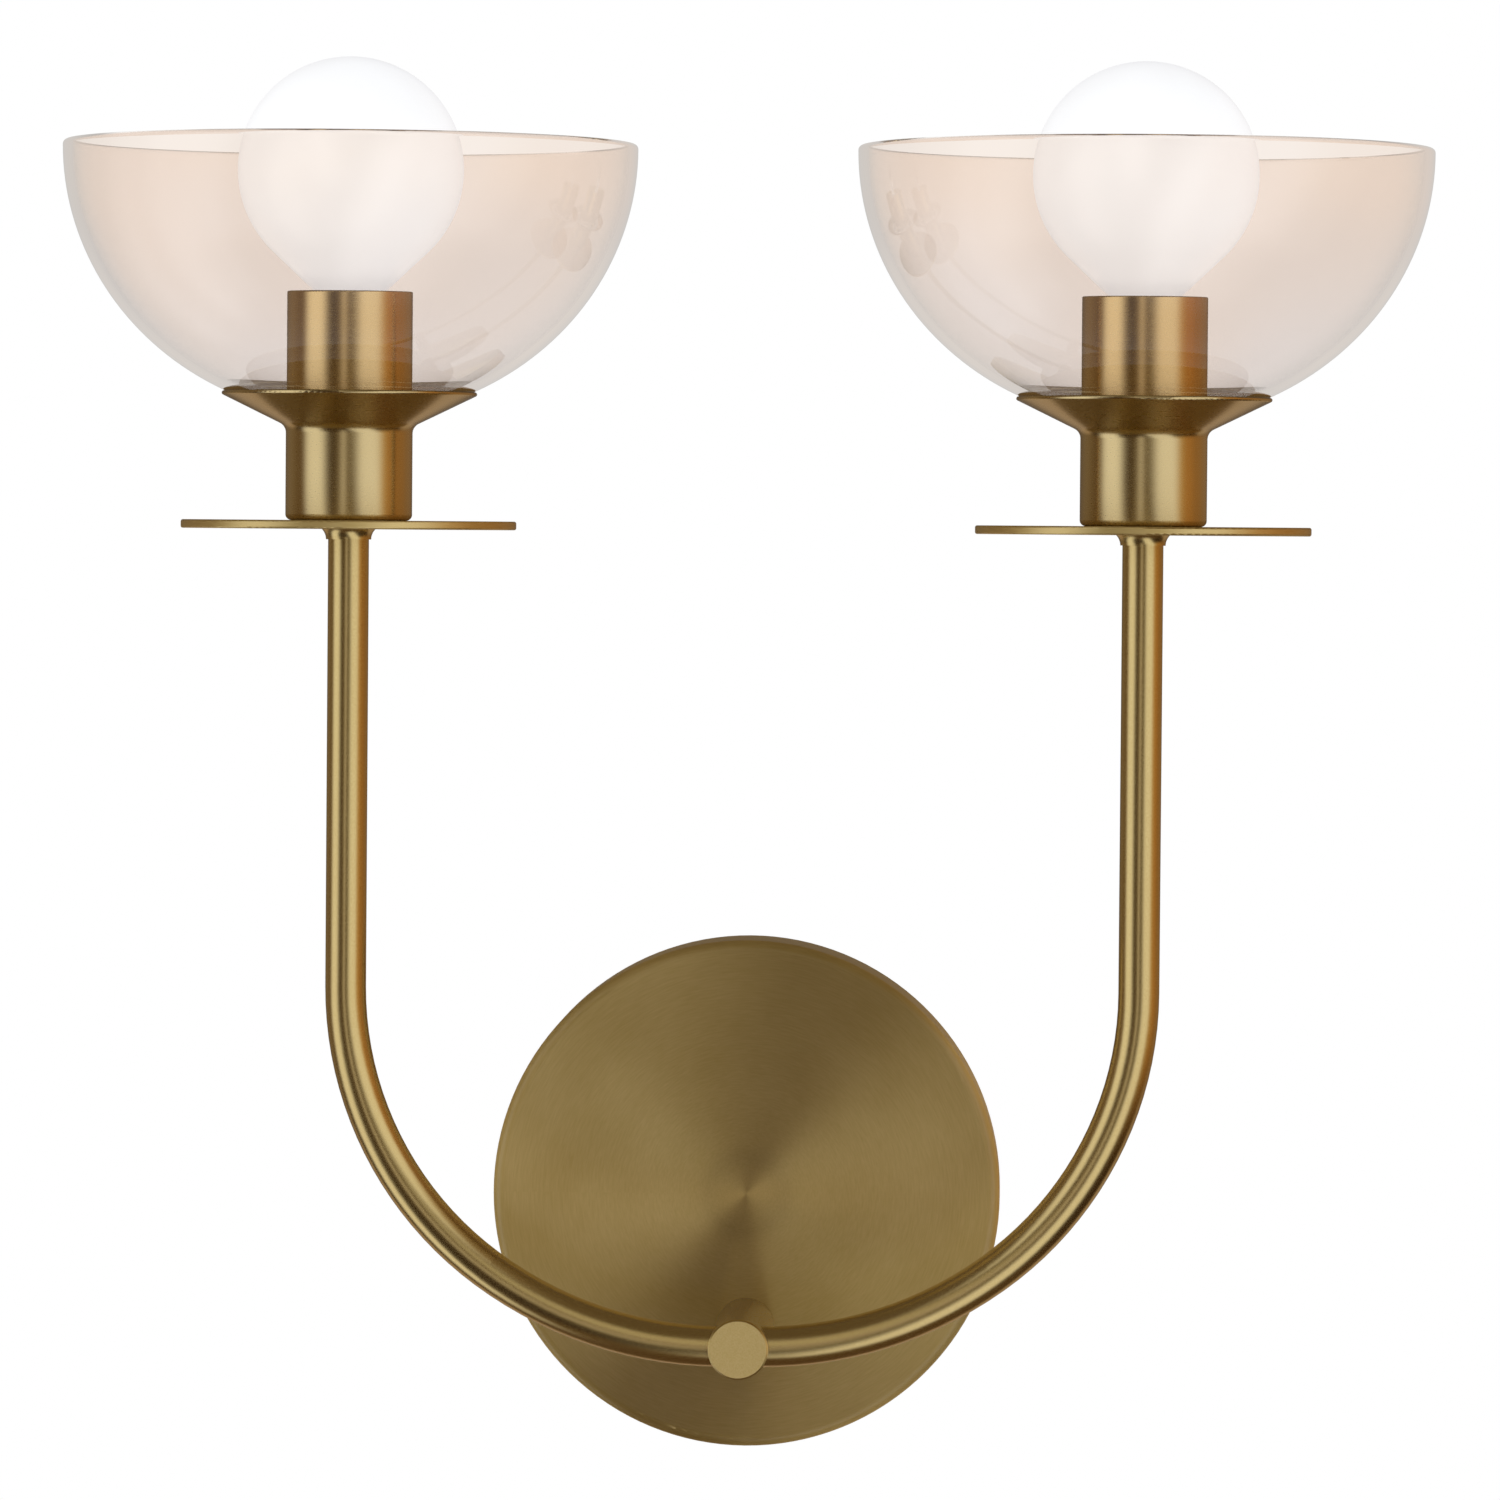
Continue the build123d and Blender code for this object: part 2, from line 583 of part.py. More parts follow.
def arm_collar():
    """The small flared ring that is brazed to the arm and carries the disc."""
    hole = TUBE_R + SLIP
    foot = (hole + COLLAR_FOOT_WALL, DISC_HEIGHT - COLLAR_HIGH)
    rim = (hole + COLLAR_TOP_WALL, DISC_HEIGHT)
    flare = TangentArc(foot, rim, tangent=(0, 1))
    return spun(flare, Polyline(rim, (hole, DISC_HEIGHT), (hole, DISC_HEIGHT - COLLAR_HIGH), foot))


def disc():
    """The thin plate, its edge slightly rounded."""
    hole = TUBE_R + SLIP
    outline = [(hole, DISC_HEIGHT), (DISC_R, DISC_HEIGHT), (DISC_R, DISC_TOP), (hole, DISC_TOP)]
    return turned(outline, [0, DISC_EDGE, DISC_EDGE, 0])


def cup():
    """The spun cup: flat floor, straight side, and a cone that opens to a rounded lip."""
    along = Vector(cos(CUP_SLOPE), sin(CUP_SLOPE))
    square = Vector(-sin(CUP_SLOPE), cos(CUP_SLOPE))
    lip = Vector(LIP_R, LIP_Z) + (along - square) * (CUP_WALL / 2)
    neck_z = lip.Y - (lip.X - CUP_R) * tan(CUP_SLOPE)
    line = [(TUBE_R + SLIP, DISC_TOP), (CUP_R, DISC_TOP), (CUP_R, neck_z), (lip.X, lip.Y)]
    return spun(bent_sheet(line, CUP_WALL, [CUP_FOOT_BEND, CUP_NECK_BEND], CUP_WALL * 0.49))


def cup_washer():
    """The washer on the cup's floor."""
    return ring(TUBE_R + SLIP, CUP_WASHER_R, CUP_WASHER_BASE, CUP_NUT_BASE)


def cup_nut():
    """The nut that clamps cup and disc down on the collar."""
    return nut(TUBE_R + SLIP, CUP_NUT_BASE, CUP_NUT_THICK)


def bowl_arc(inset, inner, outer):
    """The bowl's curve between two radii, or a curve `inset` within it."""
    wide, deep = BOWL_R - inset, BOWL_DEPTH - inset
    start, end = (360 - degrees(acos(radius / wide)) for radius in (inner, outer))
    return EllipticalCenterArc((0, BOWL_RIM), wide, deep, start, arc_size=end - start)


def bowl():
    """The glass: an even wall, a rounded rim, and a hole in the bottom for the lamp holder."""
    inner_r = BOWL_R - BOWL_WALL
    outside = bowl_arc(0, BOWL_HOLE_R, BOWL_R)
    inside = bowl_arc(BOWL_WALL, BOWL_HOLE_R, inner_r)
    rim_middle = (BOWL_R - BOWL_WALL / 2, BOWL_RIM + BOWL_WALL / 2)
    rim = ThreePointArc((BOWL_R, BOWL_RIM), rim_middle, (inner_r, BOWL_RIM))
    return spun(outside, rim, inside, Line(outside @ 0, inside @ 0))


def cup_gasket():
    """The soft wedge ring between the cup's cone and the glass."""
    lift = (CUP_WALL / 2 + GASKET_GAP) / cos(CUP_SLOPE)
    inner = CUP_R + CUP_GASKET_INSET
    outer = inner + CUP_GASKET_WIDE
    under_glass = bowl_arc(-GASKET_GAP, inner, outer)
    over_cone = [(r, LIP_Z + lift - (LIP_R - r) * tan(CUP_SLOPE)) for r in (inner, outer)]
    return spun(under_glass, Polyline(under_glass @ 0, *over_cone, under_glass @ 1))


def sleeve_gasket():
    """The soft ring between the glass and the sleeve, flat on top."""
    over_glass = bowl_arc(BOWL_WALL + GASKET_GAP, BOWL_HOLE_R, SLEEVE_GASKET_R)
    top = [(BOWL_HOLE_R, SLEEVE_BASE), (SLEEVE_GASKET_R, SLEEVE_BASE)]
    return spun(over_glass, Polyline(over_glass @ 0, *top, over_glass @ 1))


def sleeve():
    """The sleeve: its thick foot screws on the lamp holder and presses on the gasket."""
    foot_r = HOLDER_R + SLEEVE_SLIP
    bore = SLEEVE_R - SLEEVE_WALL
    foot_top = SLEEVE_BASE + SLEEVE_FLANGE_HIGH
    top = SLEEVE_BASE + SLEEVE_HIGH
    edge = SLEEVE_WALL * 0.3
    outline = [
        (foot_r, SLEEVE_BASE),
        (SLEEVE_R, SLEEVE_BASE),
        (SLEEVE_R, top),
        (bore, top),
        (bore, foot_top),
        (foot_r, foot_top),
    ]
    return turned(outline, [0, edge, edge, edge, 0, 0])


# Lamp holder, drawn about the lamp's axis, its hot side towards -X


def socket_cap():
    """The metal cap that screws on the tube and holds the porcelain body."""
    bore = HOLDER_R - CAP_WALL
    hole = TUBE_R + SLIP
    floor = CAP_BASE + CAP_FLOOR
    outline = [
        (hole, CAP_BASE),
        (HOLDER_R, CAP_BASE),
        (HOLDER_R, CAP_TOP),
        (bore, CAP_TOP),
        (bore, floor),
        (hole, floor),
    ]
    return turned(outline, [0, CAP_EDGE, 0, 0, 0, 0])


def socket_body():
    """The porcelain body: a well for the screw shell, holes for the wires and their pins."""
    spigot = HOLDER_R - CAP_WALL - BODY_CAP_SLIP
    outline = [
        (0, CAP_TOP - BODY_IN_CAP),
        (spigot, CAP_TOP - BODY_IN_CAP),
        (spigot, CAP_TOP),
        (HOLDER_R, CAP_TOP),
        (HOLDER_R, BODY_TOP),
        (WELL_R, BODY_TOP),
        (WELL_R, WELL_FLOOR),
        (0, WELL_FLOOR),
    ]
    body = turned(outline, [0, 0, 0, 0, BODY_EDGE, BODY_EDGE, 0, 0])
    wire_hole = WIRE_R + WIRE_HOLE_SLIP
    for x in (-PIN_X, PIN_X):
        body -= Pos(x, 0, 0) * rod(wire_hole, CAP_TOP - BODY_IN_CAP, CAP_TOP + WIRE_HOLE_HIGH)
        body -= Pos(x, 0, 0) * rod(PIN_R + PIN_SLIP, CAP_TOP, WELL_FLOOR)
    return body


def socket_shell():
    """The screw shell, with a foot on the well's floor and a pin down to the neutral wire."""
    top = BODY_TOP - SHELL_SHORT
    first = WELL_FLOOR + THREAD_START
    turns = int((top - first - SHELL_METAL) / THREAD_PITCH)
    half = SHELL_METAL / 2
    shell = threaded(SHELL_R + half, SHELL_WAVE, WELL_FLOOR, top, first, turns)
    shell -= threaded(SHELL_R - half, SHELL_WAVE, WELL_FLOOR + FOOT_THICK, top, first, turns)
    shell -= rod(SHELL_FOOT_HOLE_R, WELL_FLOOR, WELL_FLOOR + FOOT_THICK)
    tab_x = PIN_X - SHELL_TAB
    reach = SHELL_R - SHELL_METAL - tab_x
    tab = Box(reach, STRIP_WIDTH, FOOT_THICK, align=(Align.MIN, Align.CENTER, Align.MIN))
    pin = Pos(PIN_X, 0, 0) * rod(PIN_R, PIN_BASE, WELL_FLOOR)
    return shell + Pos(tab_x, 0, WELL_FLOOR) * tab + pin


def socket_contact():
    """The centre contact: a bent strip with a pin down to the hot wire."""
    foot_end = STRIP_TIP_X + FOOT_THICK / 4
    line = [
        (STRIP_INSET - SHELL_FOOT_HOLE_R, WELL_FLOOR + FOOT_THICK),
        (-foot_end, WELL_FLOOR + FOOT_THICK),
        (-STRIP_TIP_X / 2, WELL_FLOOR + STRIP_RISE),
        (STRIP_TIP_X, WELL_FLOOR + STRIP_RISE),
    ]
    outline = bent_sheet([(x, z) for x, z in reversed(line)], FOOT_THICK, [FOOT_THICK / 2] * 2)
    strip = extrude(Plane.XZ * make_face(outline), STRIP_WIDTH / 2, both=True)
    return strip + Pos(-PIN_X, 0, 0) * rod(PIN_R, PIN_BASE, WELL_FLOOR)


# Bulb, drawn about the lamp's axis


def filled_globe(inset):
    """The bulb's glass as if it were solid, drawn in by `inset`, down to the end of its neck."""
    slope = radians(NECK_CONE)
    radius = GLOBE_R - inset
    neck = NECK_R - inset
    shoulder = (radius * cos(slope), GLOBE_Z - radius * sin(slope))
    corner = (neck, shoulder[1] - (shoulder[0] - neck) / tan(slope))
    top = (0, GLOBE_Z + radius)
    foot = (neck, NECK_BOTTOM)
    ball = ThreePointArc(top, (radius, GLOBE_Z), shoulder)
    cone = FilletPolyline(shoulder, corner, foot, radius=NECK_BLEND + inset)
    return spun(ball, cone, Polyline(foot, (0, NECK_BOTTOM), top))


def bulb_envelope():
    """The opal glass: globe, cone and neck."""
    return filled_globe(0) - filled_globe(GLOBE_WALL)


def bulb_base():
    """The screw base, closed below but for the insulator's hole."""
    first = BASE_BOTTOM + THREAD_START
    half = BASE_METAL / 2
    base = threaded(BASE_R + half, BASE_WAVE, BASE_BOTTOM, BASE_TOP, first, BASE_TURNS)
    base -= threaded(BASE_R - half, BASE_WAVE, BASE_BOTTOM + BASE_METAL, BASE_TOP, first, BASE_TURNS)
    return base - rod(INSULATOR_TIP_R, BASE_BOTTOM, BASE_BOTTOM + BASE_METAL)


def bulb_insulator():
    """The dark glass cone under the base."""
    tip = (INSULATOR_TIP_R, INSULATOR_BASE)
    rim = BASE_R - INSULATOR_INSET
    return turned([(0, INSULATOR_BASE), tip, (rim, BASE_BOTTOM), (0, BASE_BOTTOM)])


def bulb_contact():
    """The bulb's centre contact."""
    outline = [(0, TIP_BASE), (TIP_R, TIP_BASE), (TIP_R, INSULATOR_BASE), (0, INSULATOR_BASE)]
    return turned(outline, [0, TIP_EDGE, 0, 0])


def bulb_stem():
    """The glass stem that closes the neck and holds the two supports."""
    disc_r = NECK_R - GLOBE_WALL - STEM_SLIP
    disc_top = NECK_BOTTOM + STEM_DISC_HIGH
    stem = rod(disc_r, NECK_BOTTOM, disc_top) + rod(STEM_R, disc_top, STEM_TOP)
    for x in (-SUPPORT_X, SUPPORT_X):
        stem -= Pos(x, 0, 0) * rod(SUPPORT_R + STEM_SLIP, NECK_BOTTOM, STEM_TOP)
    return stem


def bulb_filament():
    """Two support wires that spread above the stem, and the filament across their ends."""
    low = BASE_BOTTOM + SUPPORT_LOW
    high = STEM_TOP + 4 * SUPPORT_BEND
    route = FilletPolyline(
        (SUPPORT_X, 0, low),
        (SUPPORT_X, 0, STEM_TOP + SUPPORT_BEND),
        (SUPPORT_SPREAD_X, 0, STEM_TOP + 2 * SUPPORT_BEND + SUPPORT_BEND / 2),
        (SUPPORT_SPREAD_X, 0, high),
        radius=SUPPORT_BEND,
    )
    supports = both_sides(swept(Circle(SUPPORT_R), route))
    half = SUPPORT_SPREAD_X + FILAMENT_OVERHANG
    filament = Pos(0, 0, high + FILAMENT_R + FILAMENT_GAP) * Rot(Y=90) * rod(FILAMENT_R, -half, half)
    return Compound([*supports.solids(), *filament.solids()])


# The pieces in the middle, by name
pieces = {
    "canopy": canopy(),
    "crossbar": crossbar(),
    "canopy_screws": canopy_screws(),
    "ground_screw": ground_screw(),
    "ground_terminals": ground_terminals(),
    "ground_lead": ground_lead(),
    "canopy_nipple": canopy_nipple(),
    "canopy_washer": canopy_washer(),
    "canopy_nut": canopy_nut(),
    "post": post(),
    "post_cap": post_cap(),
    "hot_leads": wire_pair(1),
    "neutral_leads": wire_pair(-1),
    "wire_connectors": wire_connectors(),
    "cup_washers": both_sides(at_lamp(cup_washer())),
    "cup_nuts": both_sides(at_lamp(cup_nut())),
}

# The pieces that each lamp has for itself
per_lamp = {
    "arm": arm(),
    "arm_collar": at_lamp(arm_collar()),
    "disc": at_lamp(disc()),
    "cup": at_lamp(cup()),
    "cup_gasket": at_lamp(cup_gasket()),
    "bowl": at_lamp(bowl()),
    "sleeve_gasket": at_lamp(sleeve_gasket()),
    "sleeve": at_lamp(sleeve()),
    "socket_cap": at_lamp(socket_cap()),
    "socket_body": at_lamp(socket_body()),
    "socket_shell": at_lamp(socket_shell()),
    "socket_contact": at_lamp(socket_contact()),
    "bulb_envelope": at_lamp(bulb_envelope()),
    "bulb_base": at_lamp(bulb_base()),
    "bulb_insulator": at_lamp(bulb_insulator()),
    "bulb_contact": at_lamp(bulb_contact()),
    "bulb_stem": at_lamp(bulb_stem()),
    "bulb_filament": at_lamp(bulb_filament()),
}
for name, shape in per_lamp.items():
    pieces[f"{name}_right"] = shape
    pieces[f"{name}_left"] = other_side(shape)

for name, shape in pieces.items():
    export_step(shape, f"parts/{name}.step")
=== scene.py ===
"""The looks of a two-armed brass wall light with glass bowls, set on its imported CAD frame.

Metres. The wall is the plane y = 0, the light stands out from it towards -Y, and +Z is up.
"""

import math

import bpy
from mathutils import Euler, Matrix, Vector


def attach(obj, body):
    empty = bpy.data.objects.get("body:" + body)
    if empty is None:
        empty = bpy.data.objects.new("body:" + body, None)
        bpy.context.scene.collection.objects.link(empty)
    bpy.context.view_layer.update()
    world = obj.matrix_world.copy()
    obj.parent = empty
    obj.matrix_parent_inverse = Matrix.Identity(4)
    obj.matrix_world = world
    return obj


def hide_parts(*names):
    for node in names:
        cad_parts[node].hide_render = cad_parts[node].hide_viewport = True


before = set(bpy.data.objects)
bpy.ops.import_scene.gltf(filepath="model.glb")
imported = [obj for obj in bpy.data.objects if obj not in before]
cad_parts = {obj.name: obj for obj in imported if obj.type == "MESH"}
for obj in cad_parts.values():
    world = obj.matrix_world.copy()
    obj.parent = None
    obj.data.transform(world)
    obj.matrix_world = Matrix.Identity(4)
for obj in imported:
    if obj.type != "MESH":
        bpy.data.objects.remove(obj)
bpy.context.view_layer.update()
bpy.ops.object.select_all(action="DESELECT")

# Camera: a long lens about two metres away, level with the discs and a little to the right,
# leaning by half a degree.

CAMERA_AT = Vector((0.060, -1.973, 0.159))
CAMERA_AIM = Vector((0.0015, -0.072, 0.1069))
CAMERA_LEAN = math.radians(0.45)

bpy.ops.object.camera_add(location=CAMERA_AT)
camera = bpy.context.object
camera.data.lens = 196.9
camera.data.sensor_width = 36.0
camera.data.clip_end = 50.0
aim = (CAMERA_AIM - CAMERA_AT).to_track_quat("-Z", "Y").to_matrix()
camera.rotation_euler = (aim @ Euler((0, 0, CAMERA_LEAN)).to_matrix()).to_euler()
bpy.context.scene.camera = camera
bpy.context.scene.view_settings.view_transform = "Standard"

# Studio: a white backdrop for the camera and for what shows through glass, and an even pale light
# for matt surfaces. Metal mirrors a dim warm room instead: two tall leaning softboxes, a pale
# screen above the camera, a wooden board on the right, and a ceiling, a floor and a back wall.


def linear(code):
    """A colour's linear values from its sRGB hex code."""
    values = [int(code[i : i + 2], 16) / 255 for i in (1, 3, 5)]
    return [v / 12.92 if v <= 0.04045 else ((v + 0.055) / 1.055) ** 2.4 for v in values] + [1.0]


def add(tree, kind, links=(), **settings):
    """Adds a node, sets its properties, and sets or joins its inputs."""
    made = tree.nodes.new(kind)
    for name, value in settings.items():
        setattr(made, name, value)
    for name, value in dict(links).items():
        if isinstance(value, bpy.types.NodeSocket):
            tree.links.new(value, made.inputs[name])
        else:
            made.inputs[name].default_value = value
    return made


def grey(level):
    """A grey's linear values from its level."""
    return [level] * 3 + [1.0]


ROOM = [  # degrees round from the camera's side, towards the right, and the walls' colour there
    (-180, "#57493a"),
    (-125, "#85735a"),
    (-95, "#745f45"),
    (-24, "#4e3d26"),
    (-16, "#5f4c33"),
    (-6, "#dfd8d0"),
    (4, "#5f4c33"),
    (12, "#4e3d26"),
    (68, "#d3ad72"),
    (88, "#c08c50"),
    (112, "#a67c4c"),
    (140, "#957653"),
    (179, "#57493a"),
]
SOFTBOXES = [(-92, 0), (-72, 1), (-50, 1), (-31, 0), (9, 0), (28, 0.95), (54, 0.95), (74, 0)]
SOFTBOX_LEAN = 25  # degrees round, from the horizon to overhead
SOFTBOX_LIGHT = 1.12
ROOM_CEILING, ROOM_GROUND, ROOM_BEHIND = "#6b5d48", "#3b2c1c", "#b39c80"
ROOM_FLOOR, ROOM_SCREEN = "#5f4a33", "#c9c2b0"
SCREEN_SIDE, SCREEN_END = math.radians(12), math.radians(24)  # to each side of the camera
ROOM_LIGHT = 0.66  # on matt surfaces, from all round


def ramp(tree, place, stops):
    """A colour ramp over a full turn, from its stops in degrees, which end short of 180."""
    made = add(tree, "ShaderNodeValToRGB", {0: place})
    elements = made.color_ramp.elements
    for index, (degrees, colour) in enumerate(stops):
        stop = elements[0] if index == 0 else elements.new(degrees / 360 + 0.5)
        stop.position = degrees / 360 + 0.5
        stop.color = linear(colour) if isinstance(colour, str) else grey(colour)
    elements.remove(elements[-1])  # the white end at 180 that a new ramp has
    made.color_ramp.interpolation = "EASE"
    return made.outputs[0]


world = bpy.data.worlds.new("studio")
bpy.context.scene.world = world
world.use_nodes = True
world.cycles.sampling_method = "NONE"
tree = world.node_tree
tree.nodes.clear()
ray = add(tree, "ShaderNodeLightPath").outputs
towards = add(tree, "ShaderNodeTexCoord").outputs["Generated"]
part = add(tree, "ShaderNodeSeparateXYZ", {0: towards}).outputs
right, back, up = part["X"], part["Y"], part["Z"]


def fade(tree, value, start, end, low=0.0, high=1.0):
    """A smooth step from low, where a value is at start, to high, where it is at end."""
    made = {"Value": value, 1: start, 2: end, 3: low, 4: high}
    return add(tree, "ShaderNodeMapRange", made, interpolation_type="SMOOTHSTEP").outputs[0]


def straight(tree, ray):
    """1 for a ray straight from the camera or through glass, and 0 for any other."""
    either = {0: ray["Is Camera Ray"], 1: ray["Is Transmission Ray"]}
    return add(tree, "ShaderNodeMath", either, operation="MAXIMUM").outputs[0]


front = add(tree, "ShaderNodeMath", {0: back, 1: -1.0}, operation="MULTIPLY")
turn = add(tree, "ShaderNodeMath", {0: right, 1: front.outputs[0]}, operation="ARCTAN2")
whole = add(tree, "ShaderNodeMapRange", {"Value": turn.outputs[0], 1: -math.pi, 2: math.pi})
leaning = {0: up, 1: -SOFTBOX_LEAN / 360, 2: whole.outputs[0]}
leaning = add(tree, "ShaderNodeMath", leaning, operation="MULTIPLY_ADD")
boxes = ramp(tree, leaning.outputs[0], SOFTBOXES)
aside = add(tree, "ShaderNodeMath", {0: turn.outputs[0]}, operation="ABSOLUTE")
ahead = fade(tree, aside.outputs[0], SCREEN_SIDE, SCREEN_END, 1.0, 0.0)
seen = ramp(tree, whole.outputs[0], ROOM)
for factors, colour in (  # each layer covers those before it
    ([fade(tree, up, 0.3, 0.9)], linear(ROOM_CEILING)),
    ([fade(tree, up, -0.1, -0.5)], linear(ROOM_GROUND)),
    ([fade(tree, up, -0.15, -0.45), fade(tree, back, 0.3, 0.6)], linear(ROOM_BEHIND)),
    ([fade(tree, up, -0.65, -0.85)], linear(ROOM_FLOOR)),
    (
        [fade(tree, up, 0.06, 0.22), fade(tree, up, 0.45, 0.7, 1.0, 0.0), ahead],
        linear(ROOM_SCREEN),
    ),
    (
        [fade(tree, up, -0.95, -0.8), fade(tree, up, 0.45, 0.65, 1.0, 0.0), boxes],
        grey(SOFTBOX_LIGHT),
    ),
):
    share = factors[0]
    for factor in factors[1:]:
        share = add(tree, "ShaderNodeMath", {0: share, 1: factor}, operation="MULTIPLY").outputs[0]
    layer = {0: share, 6: seen, 7: colour}
    seen = add(tree, "ShaderNodeMix", layer, data_type="RGBA").outputs[2]
matt = {0: ray["Is Diffuse Ray"], 6: seen, 7: grey(ROOM_LIGHT)}
matt = add(tree, "ShaderNodeMix", matt, data_type="RGBA")

# Reflections take a share of the white too: hardly any on satin metal, and more on smooth glass.

satin = fade(tree, back, 0.97, 1.0, 0.0, 0.1)
clear = fade(tree, back, -0.2, 0.4, 0.25, 0.55)
share = add(tree, "ShaderNodeMix", {0: ray["Is Singular Ray"], 2: satin, 3: clear})
glint = {0: ray["Is Glossy Ray"], 1: share.outputs[0]}
glint = add(tree, "ShaderNodeMath", glint, operation="MULTIPLY")
white = {0: glint.outputs[0], 1: straight(tree, ray)}
white = add(tree, "ShaderNodeMath", white, operation="MAXIMUM")
seen = {0: white.outputs[0], 6: matt.outputs[2], 7: grey(1.0)}
seen = add(tree, "ShaderNodeMix", seen, data_type="RGBA")
sky = add(tree, "ShaderNodeBackground", {"Color": seen.outputs[2]})
add(tree, "ShaderNodeOutputWorld", {"Surface": sky.outputs[0]})

# Lamps: light for matt surfaces from about where the room's two softboxes stand, one on each side
# of the camera. Metal and glass don't see the lamps, and mirror the soft-edged boxes instead.

SCONCE_MIDDLE = Vector((0, -0.072, 0.12))
SOFTBOX_DISTANCE, SOFTBOX_POWER = 2.2, 18.0
SOFTBOX_WIDTH, SOFTBOX_HEIGHT = 1.6, 2.6
for name, degrees, height in (("softbox_left", -65, 0.5), ("softbox_right", 35, 0.2)):
    angle = math.radians(degrees)
    away = Vector((math.sin(angle), -math.cos(angle), 0)) * SOFTBOX_DISTANCE
    place = Vector((away.x, SCONCE_MIDDLE.y + away.y, height))
    bpy.ops.object.light_add(type="AREA", location=place)
    lamp = bpy.context.object
    lamp.name = name
    lamp.data.shape = "RECTANGLE"
    lamp.data.size, lamp.data.size_y = SOFTBOX_WIDTH, SOFTBOX_HEIGHT
    lamp.data.energy = SOFTBOX_POWER
    lamp.rotation_euler = (place - SCONCE_MIDDLE).to_track_quat("Z", "Y").to_euler()
    lamp.visible_camera = lamp.visible_glossy = lamp.visible_transmission = False

# Floor: matt pale paper well below the light. Near the light it shows the shadow, and farther off
# it fades into the white backdrop.

FLOOR_Z, FLOOR_SIZE = -0.45, 16
SHADOW_END, WHITE_START = 0.4, 1.4  # from the floor's middle
bpy.ops.mesh.primitive_plane_add(size=FLOOR_SIZE, location=(0, 0, FLOOR_Z))
floor = bpy.context.object
floor.name = "floor"
floor.visible_glossy = False
paper = bpy.data.materials.new("matt_paper")
paper.use_nodes = True
tree = paper.node_tree
tree.nodes.clear()
ray = add(tree, "ShaderNodeLightPath").outputs
where = add(tree, "ShaderNodeTexCoord").outputs["Object"]
far = add(tree, "ShaderNodeVectorMath", {0: where}, operation="LENGTH")
away = fade(tree, far.outputs["Value"], SHADOW_END, WHITE_START)
glowing = {0: away, 1: straight(tree, ray)}
glowing = add(tree, "ShaderNodeMath", glowing, operation="MULTIPLY")
fibre = add(tree, "ShaderNodeTexNoise", {"Vector": where, "Scale": 250.0, "Detail": 3.0})
shade = {0: fibre.outputs["Fac"], 6: linear("#f0efec"), 7: linear("#f5f4f2")}
shade = add(tree, "ShaderNodeMix", shade, data_type="RGBA")
dull = add(tree, "ShaderNodeBsdfDiffuse", {"Color": shade.outputs[2]})
glow = add(tree, "ShaderNodeEmission", {"Color": grey(1.0)})
both = {0: glowing.outputs[0], 1: dull.outputs[0], 2: glow.outputs[0]}
both = add(tree, "ShaderNodeMixShader", both)
add(tree, "ShaderNodeOutputMaterial", {"Surface": both.outputs[0]})
floor.data.materials.append(paper)

# Crossbar, washers, nuts and lamp-holder caps: pressed and turned steel, zinc plated and
# passivated, a pale bluish grey with faint cloudy patches and a dull shine.

NOISE_LOW, NOISE_HIGH = 0.3, 0.7  # between which most of a noise's values lie


def finish(name, **sockets):
    """Starts a material with its shader's own sockets set."""
    made = bpy.data.materials.new(name)
    made.use_nodes = True
    shader = made.node_tree.nodes["Principled BSDF"]
    for socket, value in sockets.items():
        shader.inputs[socket.replace("_", " ")].default_value = value
    return made


def join(made, **outputs):
    """Joins node outputs to the sockets of a material's shader."""
    shader = made.node_tree.nodes["Principled BSDF"]
    for socket, output in outputs.items():
        made.node_tree.links.new(output, shader.inputs[socket.replace("_", " ")])


def cloud(made, size, colours, shine, depth):
    """Makes colour and roughness uneven in patches of a size in mm, over relief of a depth in mm."""
    tree = made.node_tree
    where = add(tree, "ShaderNodeTexCoord").outputs["Object"]
    noise = {"Vector": where, "Scale": 1000 / size, "Detail": 3.0}
    noise = add(tree, "ShaderNodeTexNoise", noise)
    spread = {"Value": noise.outputs["Fac"], 1: NOISE_LOW, 2: NOISE_HIGH}
    spread = add(tree, "ShaderNodeMapRange", spread)
    tone = {0: spread.outputs[0], 6: linear(colours[0]), 7: linear(colours[1])}
    tone = add(tree, "ShaderNodeMix", tone, data_type="RGBA")
    rough = add(tree, "ShaderNodeMapRange", {"Value": spread.outputs[0], 3: shine[0], 4: shine[1]})
    bump = {"Height": spread.outputs[0], "Distance": depth / 1000}
    bump = add(tree, "ShaderNodeBump", bump)
    join(made, Base_Color=tone.outputs[2], Roughness=rough.outputs[0], Normal=bump.outputs[0])


def dress(made, *names):
    """Gives CAD nodes a material."""
    for name in names:
        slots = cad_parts[name].data.materials
        slots.clear()
        slots.append(made)


zinc = finish("zinc_plated_steel", Metallic=1.0)
cloud(zinc, 2.5, ("#a9adb0", "#c6c9c8"), (0.32, 0.46), 0.01)
dress(zinc, "crossbar", "canopy_screws", "canopy_washer", "canopy_nut", "cup_washers", "cup_nuts")
dress(zinc, "socket_cap_left", "socket_cap_right")
